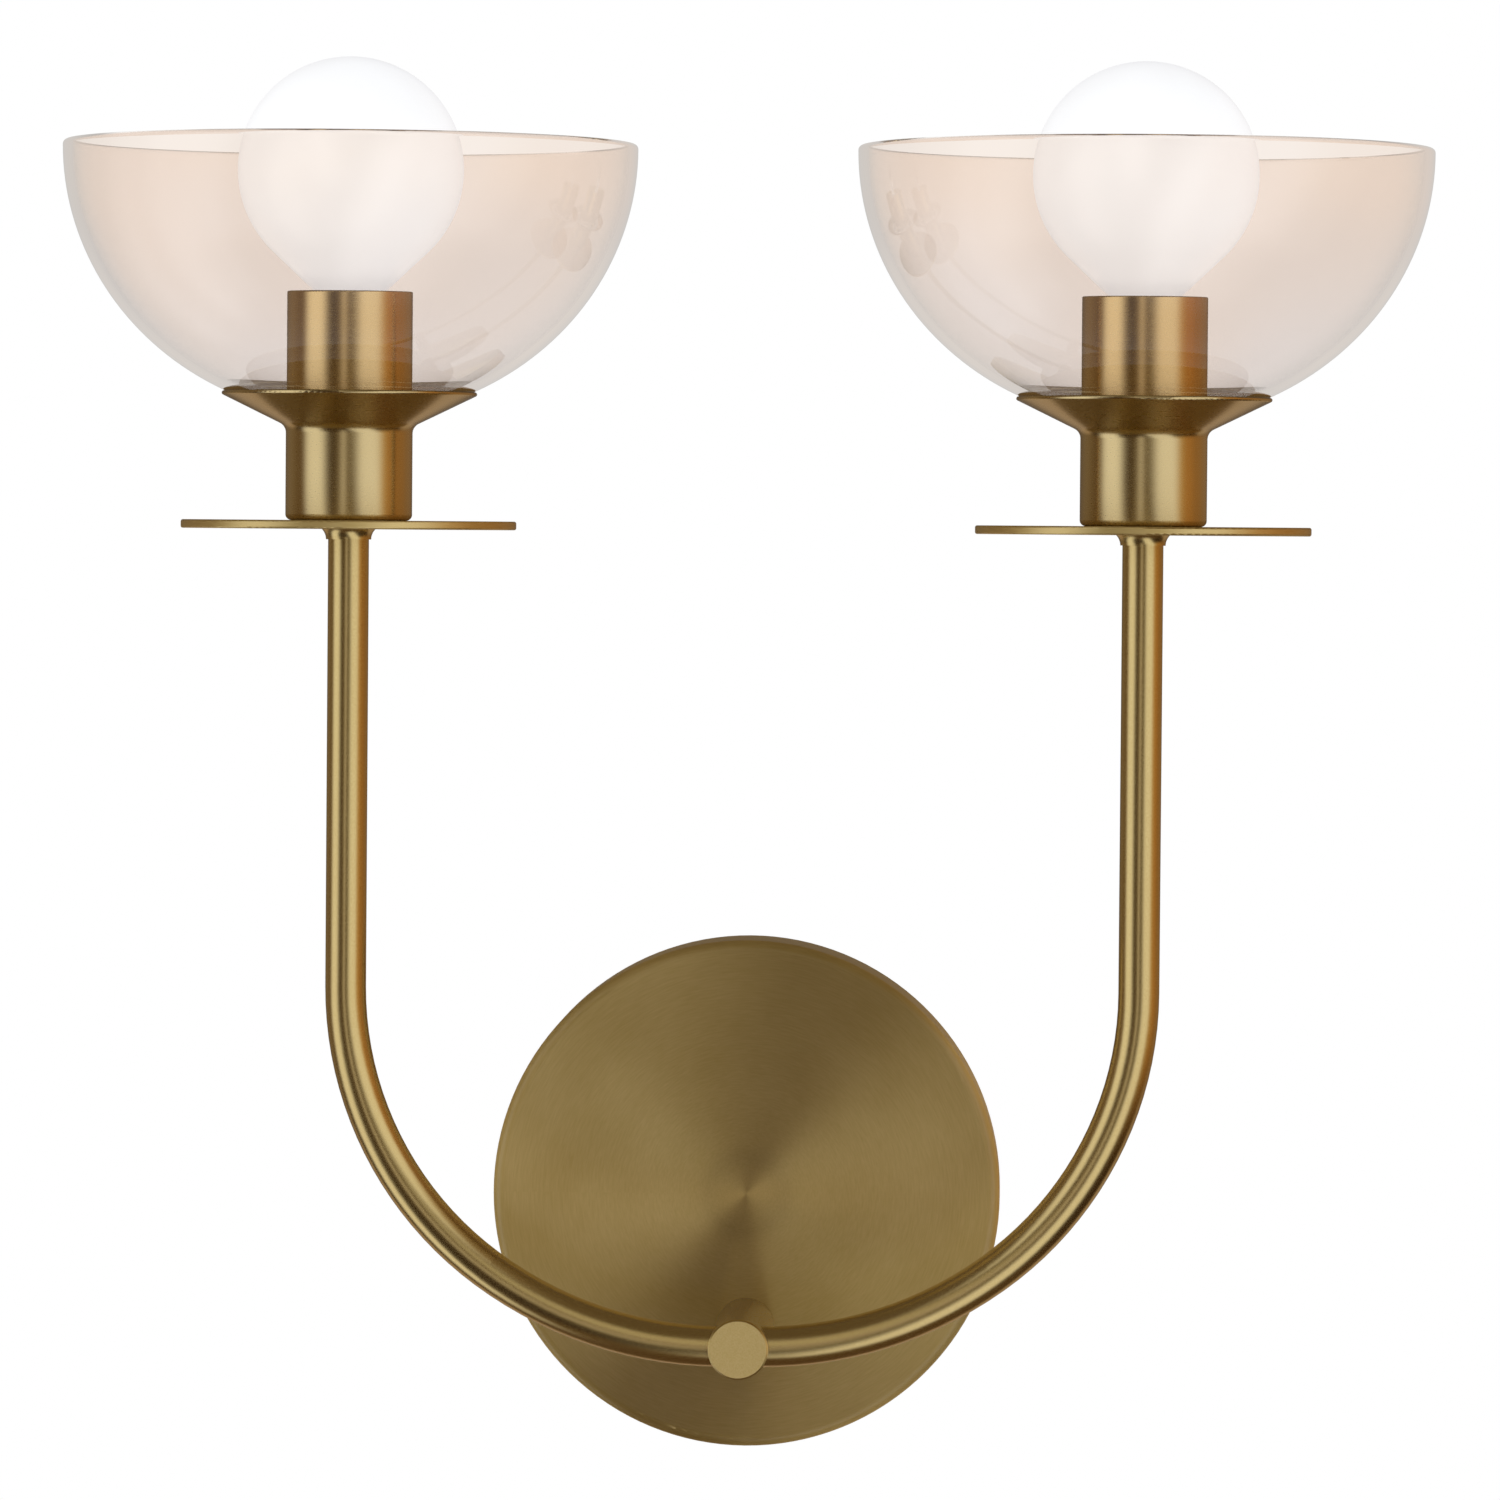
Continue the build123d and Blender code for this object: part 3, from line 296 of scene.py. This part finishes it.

# Threaded tube between canopy and post: zinc-plated steel with a rolled thread of 18 to the inch,
# which is drawn as a relief of rings along the tube, with painted shade darkening the thread's
# roots.

THREAD_PITCH = 1.41  # mm
WAVE_LENGTH = math.tau / 20  # of a wave texture's bands at a scale of 1
threaded_zinc = finish("threaded_zinc_steel", Metallic=1.0)
tree = threaded_zinc.node_tree
where = add(tree, "ShaderNodeTexCoord").outputs["Object"]
thread = {"Vector": where, "Scale": WAVE_LENGTH * 1000 / THREAD_PITCH}
thread = add(tree, "ShaderNodeTexWave", thread, bands_direction="Y")
# painted shade: darker in the thread's roots, paler on its crests
tone = {0: thread.outputs["Fac"], 6: linear("#8f9294"), 7: linear("#c3c6c6")}
tone = add(tree, "ShaderNodeMix", tone, data_type="RGBA")
rough = add(tree, "ShaderNodeMapRange", {"Value": thread.outputs["Fac"], 3: 0.5, 4: 0.32})
bump = add(tree, "ShaderNodeBump", {"Height": thread.outputs["Fac"], "Distance": 0.0005})
join(threaded_zinc, Base_Color=tone.outputs[2], Roughness=rough.outputs[0], Normal=bump.outputs[0])
dress(threaded_zinc, "canopy_nipple")

# Earth connection: a steel screw dipped in green paint, tinned brass ring terminals, and a short
# bare copper wire that has gone brown in places.

green = finish("green_dipped_steel", Metallic=0.75)
cloud(green, 0.8, ("#2c6b45", "#4a8a5e"), (0.30, 0.48), 0.02)
dress(green, "ground_screw")
tin = finish("tinned_brass", Metallic=1.0)
cloud(tin, 1.2, ("#b4b1a6", "#cfccc2"), (0.28, 0.42), 0.01)
dress(tin, "ground_terminals")
copper = finish("bare_copper", Metallic=1.0)
cloud(copper, 3.0, ("#a9603c", "#d08a60"), (0.25, 0.42), 0.01)
dress(copper, "ground_lead")

# Canopy: spun from brass sheet, brushed in circles while it turned, toned down and lacquered. The
# brushing throws the light out along the radius, so it shows as wedges.

CANOPY_TONES = "#c7ab66", "#dec483"
CANOPY_HUB, HUB_ROUGHNESS = 0.014, 0.25  # a radius, and what is added at its centre
LACQUERED_BRASS = {"Metallic": 1.0, "Coat_Weight": 0.6, "Coat_Roughness": 0.2}
GRAIN_TURN = 0.25  # of a full turn, so that light spreads across the brushed lines
BRUSH_SPACING = 0.35  # mm
BRUSH_BREAKS = 12.0  # in a radian round
BRUSH_RELIEF = 0.003  # mm
BRUSH_ROUGHNESS = 0.02  # how far the lines swing it either way
BRUSH_IN_TONE = 0.6  # how much the lines change the tone beside the patches
TONE_PATCH = 30  # mm


def turned_brass(name, centre, axis, tones, roughness, spread, hub=0.0):
    """Satin brass brushed round an axis, "Y" or "Z", through a point.

    The brushed lines are near 0.05 mm apart on the real one, and are drawn at 0.35 mm to show.
    Within the hub's radius they run together, and the surface is rougher towards the centre.
    """
    made = finish(name, Anisotropic=spread, Anisotropic_Rotation=GRAIN_TURN, **LACQUERED_BRASS)
    tree = made.node_tree
    where = add(tree, "ShaderNodeTexCoord").outputs["Object"]
    place = add(tree, "ShaderNodeVectorMath", {0: where, 1: centre}, operation="SUBTRACT")
    part = add(tree, "ShaderNodeSeparateXYZ", {0: place.outputs[0]}).outputs
    other = part["Z"] if axis == "Y" else part["Y"]
    flat = add(tree, "ShaderNodeCombineXYZ", {0: part["X"], 1: other})
    radius = add(tree, "ShaderNodeVectorMath", {0: flat.outputs[0]}, operation="LENGTH")
    angle = add(tree, "ShaderNodeMath", {0: other, 1: part["X"]}, operation="ARCTAN2")
    round_it = {0: radius.outputs["Value"], 1: part[axis], 2: angle.outputs[0]}
    round_it = add(tree, "ShaderNodeCombineXYZ", round_it)
    scale = (1000 / BRUSH_SPACING, 1000 / BRUSH_SPACING, BRUSH_BREAKS)
    scale = {0: round_it.outputs[0], 1: scale}
    scale = add(tree, "ShaderNodeVectorMath", scale, operation="MULTIPLY")
    lines = {"Vector": scale.outputs[0], "Scale": 1.0, "Detail": 2.0}
    lines = add(tree, "ShaderNodeTexNoise", lines)
    rough = {"Value": lines.outputs["Fac"], 1: NOISE_LOW, 2: NOISE_HIGH}
    rough.update({3: roughness - BRUSH_ROUGHNESS, 4: roughness + BRUSH_ROUGHNESS})
    rough = add(tree, "ShaderNodeMapRange", rough)
    if hub:
        soft = fade(tree, radius.outputs["Value"], 0.0, hub, HUB_ROUGHNESS, 0.0)
        rough = add(tree, "ShaderNodeMath", {0: rough.outputs[0], 1: soft}, operation="ADD")
    tone = {"Vector": where, "Scale": 1000 / TONE_PATCH, "Detail": 3.0}
    tone = add(tree, "ShaderNodeTexNoise", tone)
    mixed = {0: lines.outputs["Fac"], 1: BRUSH_IN_TONE, 2: tone.outputs["Fac"]}
    mixed = add(tree, "ShaderNodeMath", mixed, operation="MULTIPLY_ADD")
    level = add(tree, "ShaderNodeMapRange", {"Value": mixed.outputs[0], 1: 0.5, 2: 1.1})
    colour = {0: level.outputs[0], 6: linear(tones[0]), 7: linear(tones[1])}
    colour = add(tree, "ShaderNodeMix", colour, data_type="RGBA")
    bump = {"Height": lines.outputs["Fac"], "Distance": BRUSH_RELIEF / 1000}
    bump = add(tree, "ShaderNodeBump", bump)
    tangent = add(tree, "ShaderNodeTangent", direction_type="RADIAL", axis=axis)
    join(made, Base_Color=colour.outputs[2], Roughness=rough.outputs[0], Normal=bump.outputs[0])
    join(made, Tangent=tangent.outputs[0])
    return made


spun = turned_brass("spun_brass", (0, 0, 0), "Y", CANOPY_TONES, 0.54, 0.96, CANOPY_HUB)
dress(spun, "canopy")

# Post and cap: turned brass rod, brushed round. The post's brass is painted darker than the other
# brass, as painted shade. The cap's flat end is rubbed up and down on a belt, so it throws the side
# lamps' light forwards and shows paler than all round it; its brass is painted paler as well, as a
# painted highlight.

POST_Z = -0.0318
# painted shade: the post's tones are darker than the other brass
POST_PAINTED_SHADE_TONES = "#b39b66", "#bda673"
# painted highlight: the cap's tones are paler than the post's
CAP_PAINTED_HIGHLIGHT_TONES = "#d8bf7c", "#e2cb8e"
rod = turned_brass("turned_brass_post_painted_shade", (0, 0, POST_Z), "Y", POST_PAINTED_SHADE_TONES, 0.28, 0.7)
dress(rod, "post")
belted = finish(
    "belt_rubbed_brass_painted_highlight", Anisotropic=0.9, Anisotropic_Rotation=GRAIN_TURN, **LACQUERED_BRASS
)
cloud(belted, 0.35, CAP_PAINTED_HIGHLIGHT_TONES, (0.46, 0.50), 0.002)
tangent = add(belted.node_tree, "ShaderNodeTangent", direction_type="RADIAL", axis="X")
join(belted, Tangent=tangent.outputs[0])
dress(belted, "post_cap")

# Arms and their collars: drawn brass tube, bent and rubbed to a fine satin with no direction,
# toned and lacquered as the canopy is.

ARM_TONES = "#c4ac70", "#ceb87e"
satin_tube = finish("satin_brass_tube", **LACQUERED_BRASS)
cloud(satin_tube, 0.35, ARM_TONES, (0.23, 0.27), 0.0002)
dress(satin_tube, "arm_left", "arm_right", "arm_collar_left", "arm_collar_right")

# Leads: one black and one white wire to each lamp, stranded copper in extruded PVC with a soft
# shine.

black_pvc = finish("black_pvc", IOR=1.53)
cloud(black_pvc, 0.5, ("#1b1b1c", "#262627"), (0.38, 0.50), 0.01)
dress(black_pvc, "hot_leads")
white_pvc = finish("white_pvc", IOR=1.53)
cloud(white_pvc, 0.5, ("#dedcd4", "#e9e7e0"), (0.38, 0.50), 0.01)
dress(white_pvc, "neutral_leads")

# Twist-on connectors: orange moulded nylon, ribbed for the fingers, closed at the tip and open
# over the wires. One joins the black leads on the right, one the white leads on the left.

CONNECTOR_MOUTH, CONNECTOR_TIP = 0.016, 0.034  # from the middle
CONNECTOR_MOUTH_R, CONNECTOR_TIP_R = 0.0052, 0.0036
CONNECTOR_WALL, CONNECTOR_ROUND = 0.0010, 0.0009
CONNECTOR_Y, CONNECTOR_RISE = -0.0089, 0.0011
CONNECTOR_Z = POST_Z + CONNECTOR_RISE
CONNECTOR_SIDES, RIB_HEIGHT, RIB_SLOPE = 48, 0.0004, 0.0001
SIDE_FACE_AREA = 0.000003  # the bevel's faces have less
NEAR = 0.0001  # how close to a level counts as on it


def pick(piece, kind, chosen):
    """Selects only those edges or faces of a piece that a test picks, in edit mode."""
    bpy.ops.object.mode_set(mode="EDIT")
    bpy.ops.mesh.select_mode(type=kind)
    bpy.ops.mesh.select_all(action="DESELECT")
    bpy.ops.object.mode_set(mode="OBJECT")
    parts = {"EDGE": "edges", "FACE": "polygons"}[kind]
    for part in getattr(piece.data, parts):
        part.select = chosen(part)
    bpy.ops.object.mode_set(mode="EDIT")


def thicken(piece, wall):
    """Gives a shell its wall, inwards."""
    bpy.ops.object.mode_set(mode="OBJECT")
    bpy.ops.object.modifier_add(type="SOLIDIFY")
    piece.modifiers[-1].thickness = wall
    piece.modifiers[-1].offset = -1
    piece.modifiers[-1].use_even_offset = True
    bpy.ops.object.modifier_apply(modifier=piece.modifiers[-1].name)


def settle(piece, name, made, body, smooth):
    """Finishes a piece: its faces smoothed up to an angle, its name, material and body set."""
    bpy.ops.object.mode_set(mode="OBJECT")
    bpy.ops.object.shade_smooth_by_angle(angle=math.radians(smooth))
    piece.name = name
    piece.data.materials.clear()
    piece.data.materials.append(made)
    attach(piece, body)


def repeat(piece, name, body, shift, turn=0.0):
    """Copies a finished piece with its own mesh, turns it about the upright axis and moves it."""
    bpy.ops.object.select_all(action="DESELECT")
    piece.select_set(True)
    bpy.context.view_layer.objects.active = piece
    bpy.ops.object.duplicate(linked=False)
    twin = bpy.context.object
    twin.rotation_euler.z = turn
    twin.location = shift
    bpy.ops.object.transform_apply(location=True, rotation=True, scale=True)
    bpy.ops.object.select_all(action="DESELECT")
    twin.name = name
    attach(twin, body)
    return twin


orange_nylon = finish("moulded_nylon", IOR=1.53)
cloud(orange_nylon, 0.9, ("#d9641c", "#e8762a"), (0.36, 0.48), 0.01)
bpy.ops.mesh.primitive_cone_add(
    vertices=CONNECTOR_SIDES,
    radius1=CONNECTOR_MOUTH_R - RIB_HEIGHT,
    radius2=CONNECTOR_TIP_R - RIB_HEIGHT,
    depth=CONNECTOR_TIP - CONNECTOR_MOUTH,
    location=((CONNECTOR_MOUTH + CONNECTOR_TIP) / 2, CONNECTOR_Y, CONNECTOR_Z),
    rotation=(0, math.pi / 2, 0),
)
connector = bpy.context.object
bpy.ops.object.transform_apply(location=True, rotation=True, scale=True)
pick(connector, "FACE", lambda face: face.center.x < CONNECTOR_MOUTH + NEAR)
bpy.ops.mesh.delete(type="FACE")
bpy.ops.object.mode_set(mode="OBJECT")
at_tip = [v.co.x > CONNECTOR_TIP - NEAR for v in connector.data.vertices]
pick(connector, "EDGE", lambda edge: all(at_tip[v] for v in edge.vertices))
bpy.ops.mesh.bevel(offset=CONNECTOR_ROUND, segments=4)


def on_rib(face):
    """Picks two faces in four round the connector's side."""
    step = math.atan2(face.center.z - CONNECTOR_Z, face.center.y - CONNECTOR_Y) / math.tau
    return (
        face.area > SIDE_FACE_AREA
        and abs(face.normal.x) < 0.5
        and math.floor(step * CONNECTOR_SIDES) % 4 < 2
    )


pick(connector, "FACE", on_rib)
bpy.ops.mesh.inset(thickness=RIB_SLOPE, use_individual=False)
bpy.ops.mesh.extrude_region_shrink_fatten(TRANSFORM_OT_shrink_fatten={"value": RIB_HEIGHT})
thicken(connector, CONNECTOR_WALL)
settle(connector, "connector_hot", orange_nylon, "fixture", smooth=35)
across = (0, 2 * CONNECTOR_Y, -2 * CONNECTOR_RISE)
twin = repeat(connector, "connector_neutral", "fixture", across, turn=math.pi)
for piece in (connector, twin):
    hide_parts("wire_connectors")

# Discs, cups and sleeves: turned and spun brass, brushed round the lamp's axis, so that the light
# stands in clean upright bands. The discs' and sleeves' brass is painted paler than the cups', as
# painted light: on the discs for their bright edge, and on the sleeves for the light that the bowl
# before them takes.

LAMP_X, LAMP_Y = 0.0921, -0.072
# painted light: paler than the cups', for the discs' bright edge
DISC_PAINTED_LIGHT_TONES = "#d8be7c", "#e4ce90"
CUP_TONES = "#c5af7c", "#cfbb8a"
# painted light: paler than the cups', for the light the bowl before them takes
SLEEVE_PAINTED_LIGHT_TONES = "#d8bb84", "#e2c892"
for side, x in (("left", -LAMP_X), ("right", LAMP_X)):
    for kind, tones, roughness, spread in (
        ("disc", DISC_PAINTED_LIGHT_TONES, 0.48, 0.3),
        ("cup", CUP_TONES, 0.26, 0.8),
        ("sleeve", SLEEVE_PAINTED_LIGHT_TONES, 0.26, 0.8),
    ):
        name = f"turned_brass_{kind}_{side}"
        turned = turned_brass(name, (x, LAMP_Y, 0), "Z", tones, roughness, spread)
        dress(turned, f"{kind}_{side}")

# Gaskets: rings of moulded silicone rubber, milky and dull, one between cup and bowl and one
# between bowl and sleeve.

silicone = finish("moulded_silicone", IOR=1.41, Transmission_Weight=0.35)
cloud(silicone, 1.0, ("#dcd9d2", "#e6e4de"), (0.45, 0.60), 0.01)
for side in ("left", "right"):
    dress(silicone, f"cup_gasket_{side}", f"sleeve_gasket_{side}")

# Lamp holders: a body of glazed porcelain, glossy and slightly warm, with a nickelled brass screw
# shell inside and a springy strip of the same under the bulb's tip.

porcelain = finish("glazed_porcelain", IOR=1.52, Coat_Weight=0.6, Coat_Roughness=0.06)
cloud(porcelain, 6.0, ("#ece8dd", "#f3f0e7"), (0.12, 0.20), 0.02)
nickel = finish("nickelled_brass", Metallic=1.0)
cloud(nickel, 1.5, ("#bdb9ad", "#d3cfc4"), (0.22, 0.34), 0.01)
for side in ("left", "right"):
    dress(porcelain, f"socket_body_{side}")
    dress(nickel, f"socket_shell_{side}", f"socket_contact_{side}")

# Bowls: soda glass, a faint pinkish beige that is cooler towards the bottom, blown into a mould.
# The wall is 2.2 mm, the rim is melted round, and the surface has blown glass's soft waves.

BOWL_R, BOWL_DEPTH, BOWL_WALL = 0.0666, 0.0628, 0.0022
BOWL_RIM, BOWL_HOLE_R = 0.2459, 0.0119
BOWL_BOTTOM = BOWL_RIM - BOWL_DEPTH * math.sqrt(1 - (BOWL_HOLE_R / BOWL_R) ** 2)
RIM_ROUND = BOWL_WALL * 0.49  # just under half, so that the rim's two round edges don't meet
GLASS_WAVE, WAVE_RELIEF = 45, 0.02  # mm
TOUCHING = 0.00001  # points this close are taken as one
blown_glass = finish("blown_glass", Transmission_Weight=1.0, Roughness=0.0, IOR=1.50)
tree = blown_glass.node_tree
where = add(tree, "ShaderNodeTexCoord").outputs["Object"]
wave = {"Vector": where, "Scale": 1000 / GLASS_WAVE, "Detail": 0.0}
wave = add(tree, "ShaderNodeTexNoise", wave)
bump = {"Height": wave.outputs["Fac"], "Distance": WAVE_RELIEF / 1000}
bump = add(tree, "ShaderNodeBump", bump)
part = add(tree, "ShaderNodeSeparateXYZ", {0: where}).outputs
rise = add(tree, "ShaderNodeMapRange", {"Value": part["Z"], 1: BOWL_BOTTOM, 2: BOWL_RIM})
drift = add(tree, "ShaderNodeMath", {0: rise.outputs[0], 1: wave.outputs["Fac"]}, operation="ADD")
share = add(tree, "ShaderNodeMapRange", {"Value": drift.outputs[0], 1: 0.5, 2: 1.5})
tint = {0: share.outputs[0], 6: linear("#f5efec"), 7: linear("#f7ece3")}
tint = add(tree, "ShaderNodeMix", tint, data_type="RGBA")
join(blown_glass, Base_Color=tint.outputs[2], Normal=bump.outputs[0])
bpy.ops.mesh.primitive_uv_sphere_add(
    segments=160, ring_count=96, radius=BOWL_R, location=(-LAMP_X, LAMP_Y, BOWL_RIM)
)
bowl = bpy.context.object
bowl.scale = (1, 1, BOWL_DEPTH / BOWL_R)
bpy.ops.object.transform_apply(location=True, rotation=True, scale=True)
bpy.ops.object.mode_set(mode="EDIT")
bpy.ops.mesh.select_all(action="SELECT")
bpy.ops.mesh.bisect(plane_co=(0, 0, BOWL_RIM), plane_no=(0, 0, 1), clear_outer=True)
bpy.ops.mesh.select_all(action="SELECT")
bpy.ops.mesh.bisect(plane_co=(0, 0, BOWL_BOTTOM), plane_no=(0, 0, 1), clear_inner=True)
bpy.ops.mesh.select_all(action="SELECT")
bpy.ops.mesh.remove_doubles(threshold=TOUCHING)
bpy.ops.mesh.normals_make_consistent(inside=False)
thicken(bowl, BOWL_WALL)
at_rim = [v.co.z > BOWL_RIM - NEAR for v in bowl.data.vertices]
pick(bowl, "FACE", lambda face: all(at_rim[v] for v in face.vertices))
bpy.ops.mesh.extrude_region_move(TRANSFORM_OT_translate={"value": (0, 0, BOWL_WALL / 2)})
bpy.ops.mesh.region_to_loop()
bpy.ops.mesh.bevel(offset=RIM_ROUND, segments=6)
settle(bowl, "bowl_glass_left", blown_glass, "fixture", smooth=60)
twin = repeat(bowl, "bowl_glass_right", "fixture", (2 * LAMP_X, 0, 0))
for piece, side in ((bowl, "left"), (twin, "right")):  # no shade, and not in the metal's bands
    piece.visible_shadow = piece.visible_glossy = piece.visible_diffuse = False
    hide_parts(f"bowl_{side}")

# Bulbs: a globe of opal glass, white all through with a smooth skin. It is lit, so its own glow
# hides most of its shading and shines through the bowl.

GLOBE_R, GLOBE_Z, GLOBE_WALL = 0.0262, 0.24065, 0.0007
GLOBE_CONE, NECK_R = math.radians(46.5), 0.00505
NECK_TOP, NECK_BOTTOM, NECK_ROUND = 0.2094, 0.2030, 0.0009
SHOULDER_Z = GLOBE_Z - GLOBE_R * math.sin(GLOBE_CONE)
GLOW, GLOW_COLOUR = 0.68, "#f4f6fc"
opal = finish(
    "opal_glass", IOR=1.50, Emission_Strength=GLOW, Emission_Color=linear(GLOW_COLOUR)
)
cloud(opal, 18.0, ("#adaca8", "#b2b2af"), (0.28, 0.34), 0.005)
bpy.ops.mesh.primitive_uv_sphere_add(
    segments=96, ring_count=64, radius=GLOBE_R, location=(-LAMP_X, LAMP_Y, GLOBE_Z)
)
globe = bpy.context.object
bpy.ops.object.transform_apply(location=True, rotation=True, scale=True)
bpy.ops.object.mode_set(mode="EDIT")
bpy.ops.mesh.select_all(action="SELECT")
bpy.ops.mesh.bisect(plane_co=(0, 0, SHOULDER_Z), plane_no=(0, 0, 1), clear_inner=True)
narrow = NECK_R / (GLOBE_R * math.cos(GLOBE_CONE))
down = {"value": (0, 0, NECK_TOP - SHOULDER_Z)}
bpy.ops.mesh.extrude_region_move(TRANSFORM_OT_translate=down)
bpy.ops.transform.resize(value=(narrow, narrow, 1), center_override=(-LAMP_X, LAMP_Y, NECK_TOP))
down = {"value": (0, 0, NECK_BOTTOM - NECK_TOP)}
bpy.ops.mesh.extrude_region_move(TRANSFORM_OT_translate=down)
bpy.ops.object.mode_set(mode="OBJECT")
at_neck = [abs(v.co.z - NECK_TOP) < TOUCHING for v in globe.data.vertices]
pick(globe, "EDGE", lambda edge: all(at_neck[v] for v in edge.vertices))
bpy.ops.mesh.bevel(offset=NECK_ROUND, segments=5)
bpy.ops.mesh.select_all(action="SELECT")
bpy.ops.mesh.remove_doubles(threshold=TOUCHING)
bpy.ops.mesh.normals_make_consistent(inside=False)
thicken(globe, GLOBE_WALL)
settle(globe, "globe_left", opal, "bulb_left", smooth=35)
twin = repeat(globe, "globe_right", "bulb_right", (2 * LAMP_X, 0, 0))
for piece, side in ((globe, "left"), (twin, "right")):  # metal and glass don't mirror them
    piece.visible_glossy = False
    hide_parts(f"bulb_envelope_{side}")

# Bulb bases: nickel-plated brass screw, black glass insulator and a blob of solder at the tip.
# Inside the globe a clear glass stem holds the grey tungsten wire.

solder = finish("tin_solder", Metallic=1.0)
cloud(solder, 0.7, ("#8d8d8b", "#adadaa"), (0.30, 0.50), 0.03)
black_glass = finish("black_vitrite", IOR=1.60, Coat_Weight=0.5, Coat_Roughness=0.05)
cloud(black_glass, 1.2, ("#141316", "#1f1d21"), (0.15, 0.28), 0.02)
stem_glass = finish("clear_glass", Transmission_Weight=1.0, IOR=1.50)
cloud(stem_glass, 5.0, ("#f4f7f6", "#fdfefd"), (0.00, 0.04), 0.005)
tungsten = finish("drawn_tungsten", Metallic=1.0)
cloud(tungsten, 0.4, ("#6c6c6e", "#88888a"), (0.35, 0.50), 0.005)
for side in ("left", "right"):
    dress(nickel, f"bulb_base_{side}")
    dress(black_glass, f"bulb_insulator_{side}")
    dress(solder, f"bulb_contact_{side}")
    dress(stem_glass, f"bulb_stem_{side}")
    dress(tungsten, f"bulb_filament_{side}")
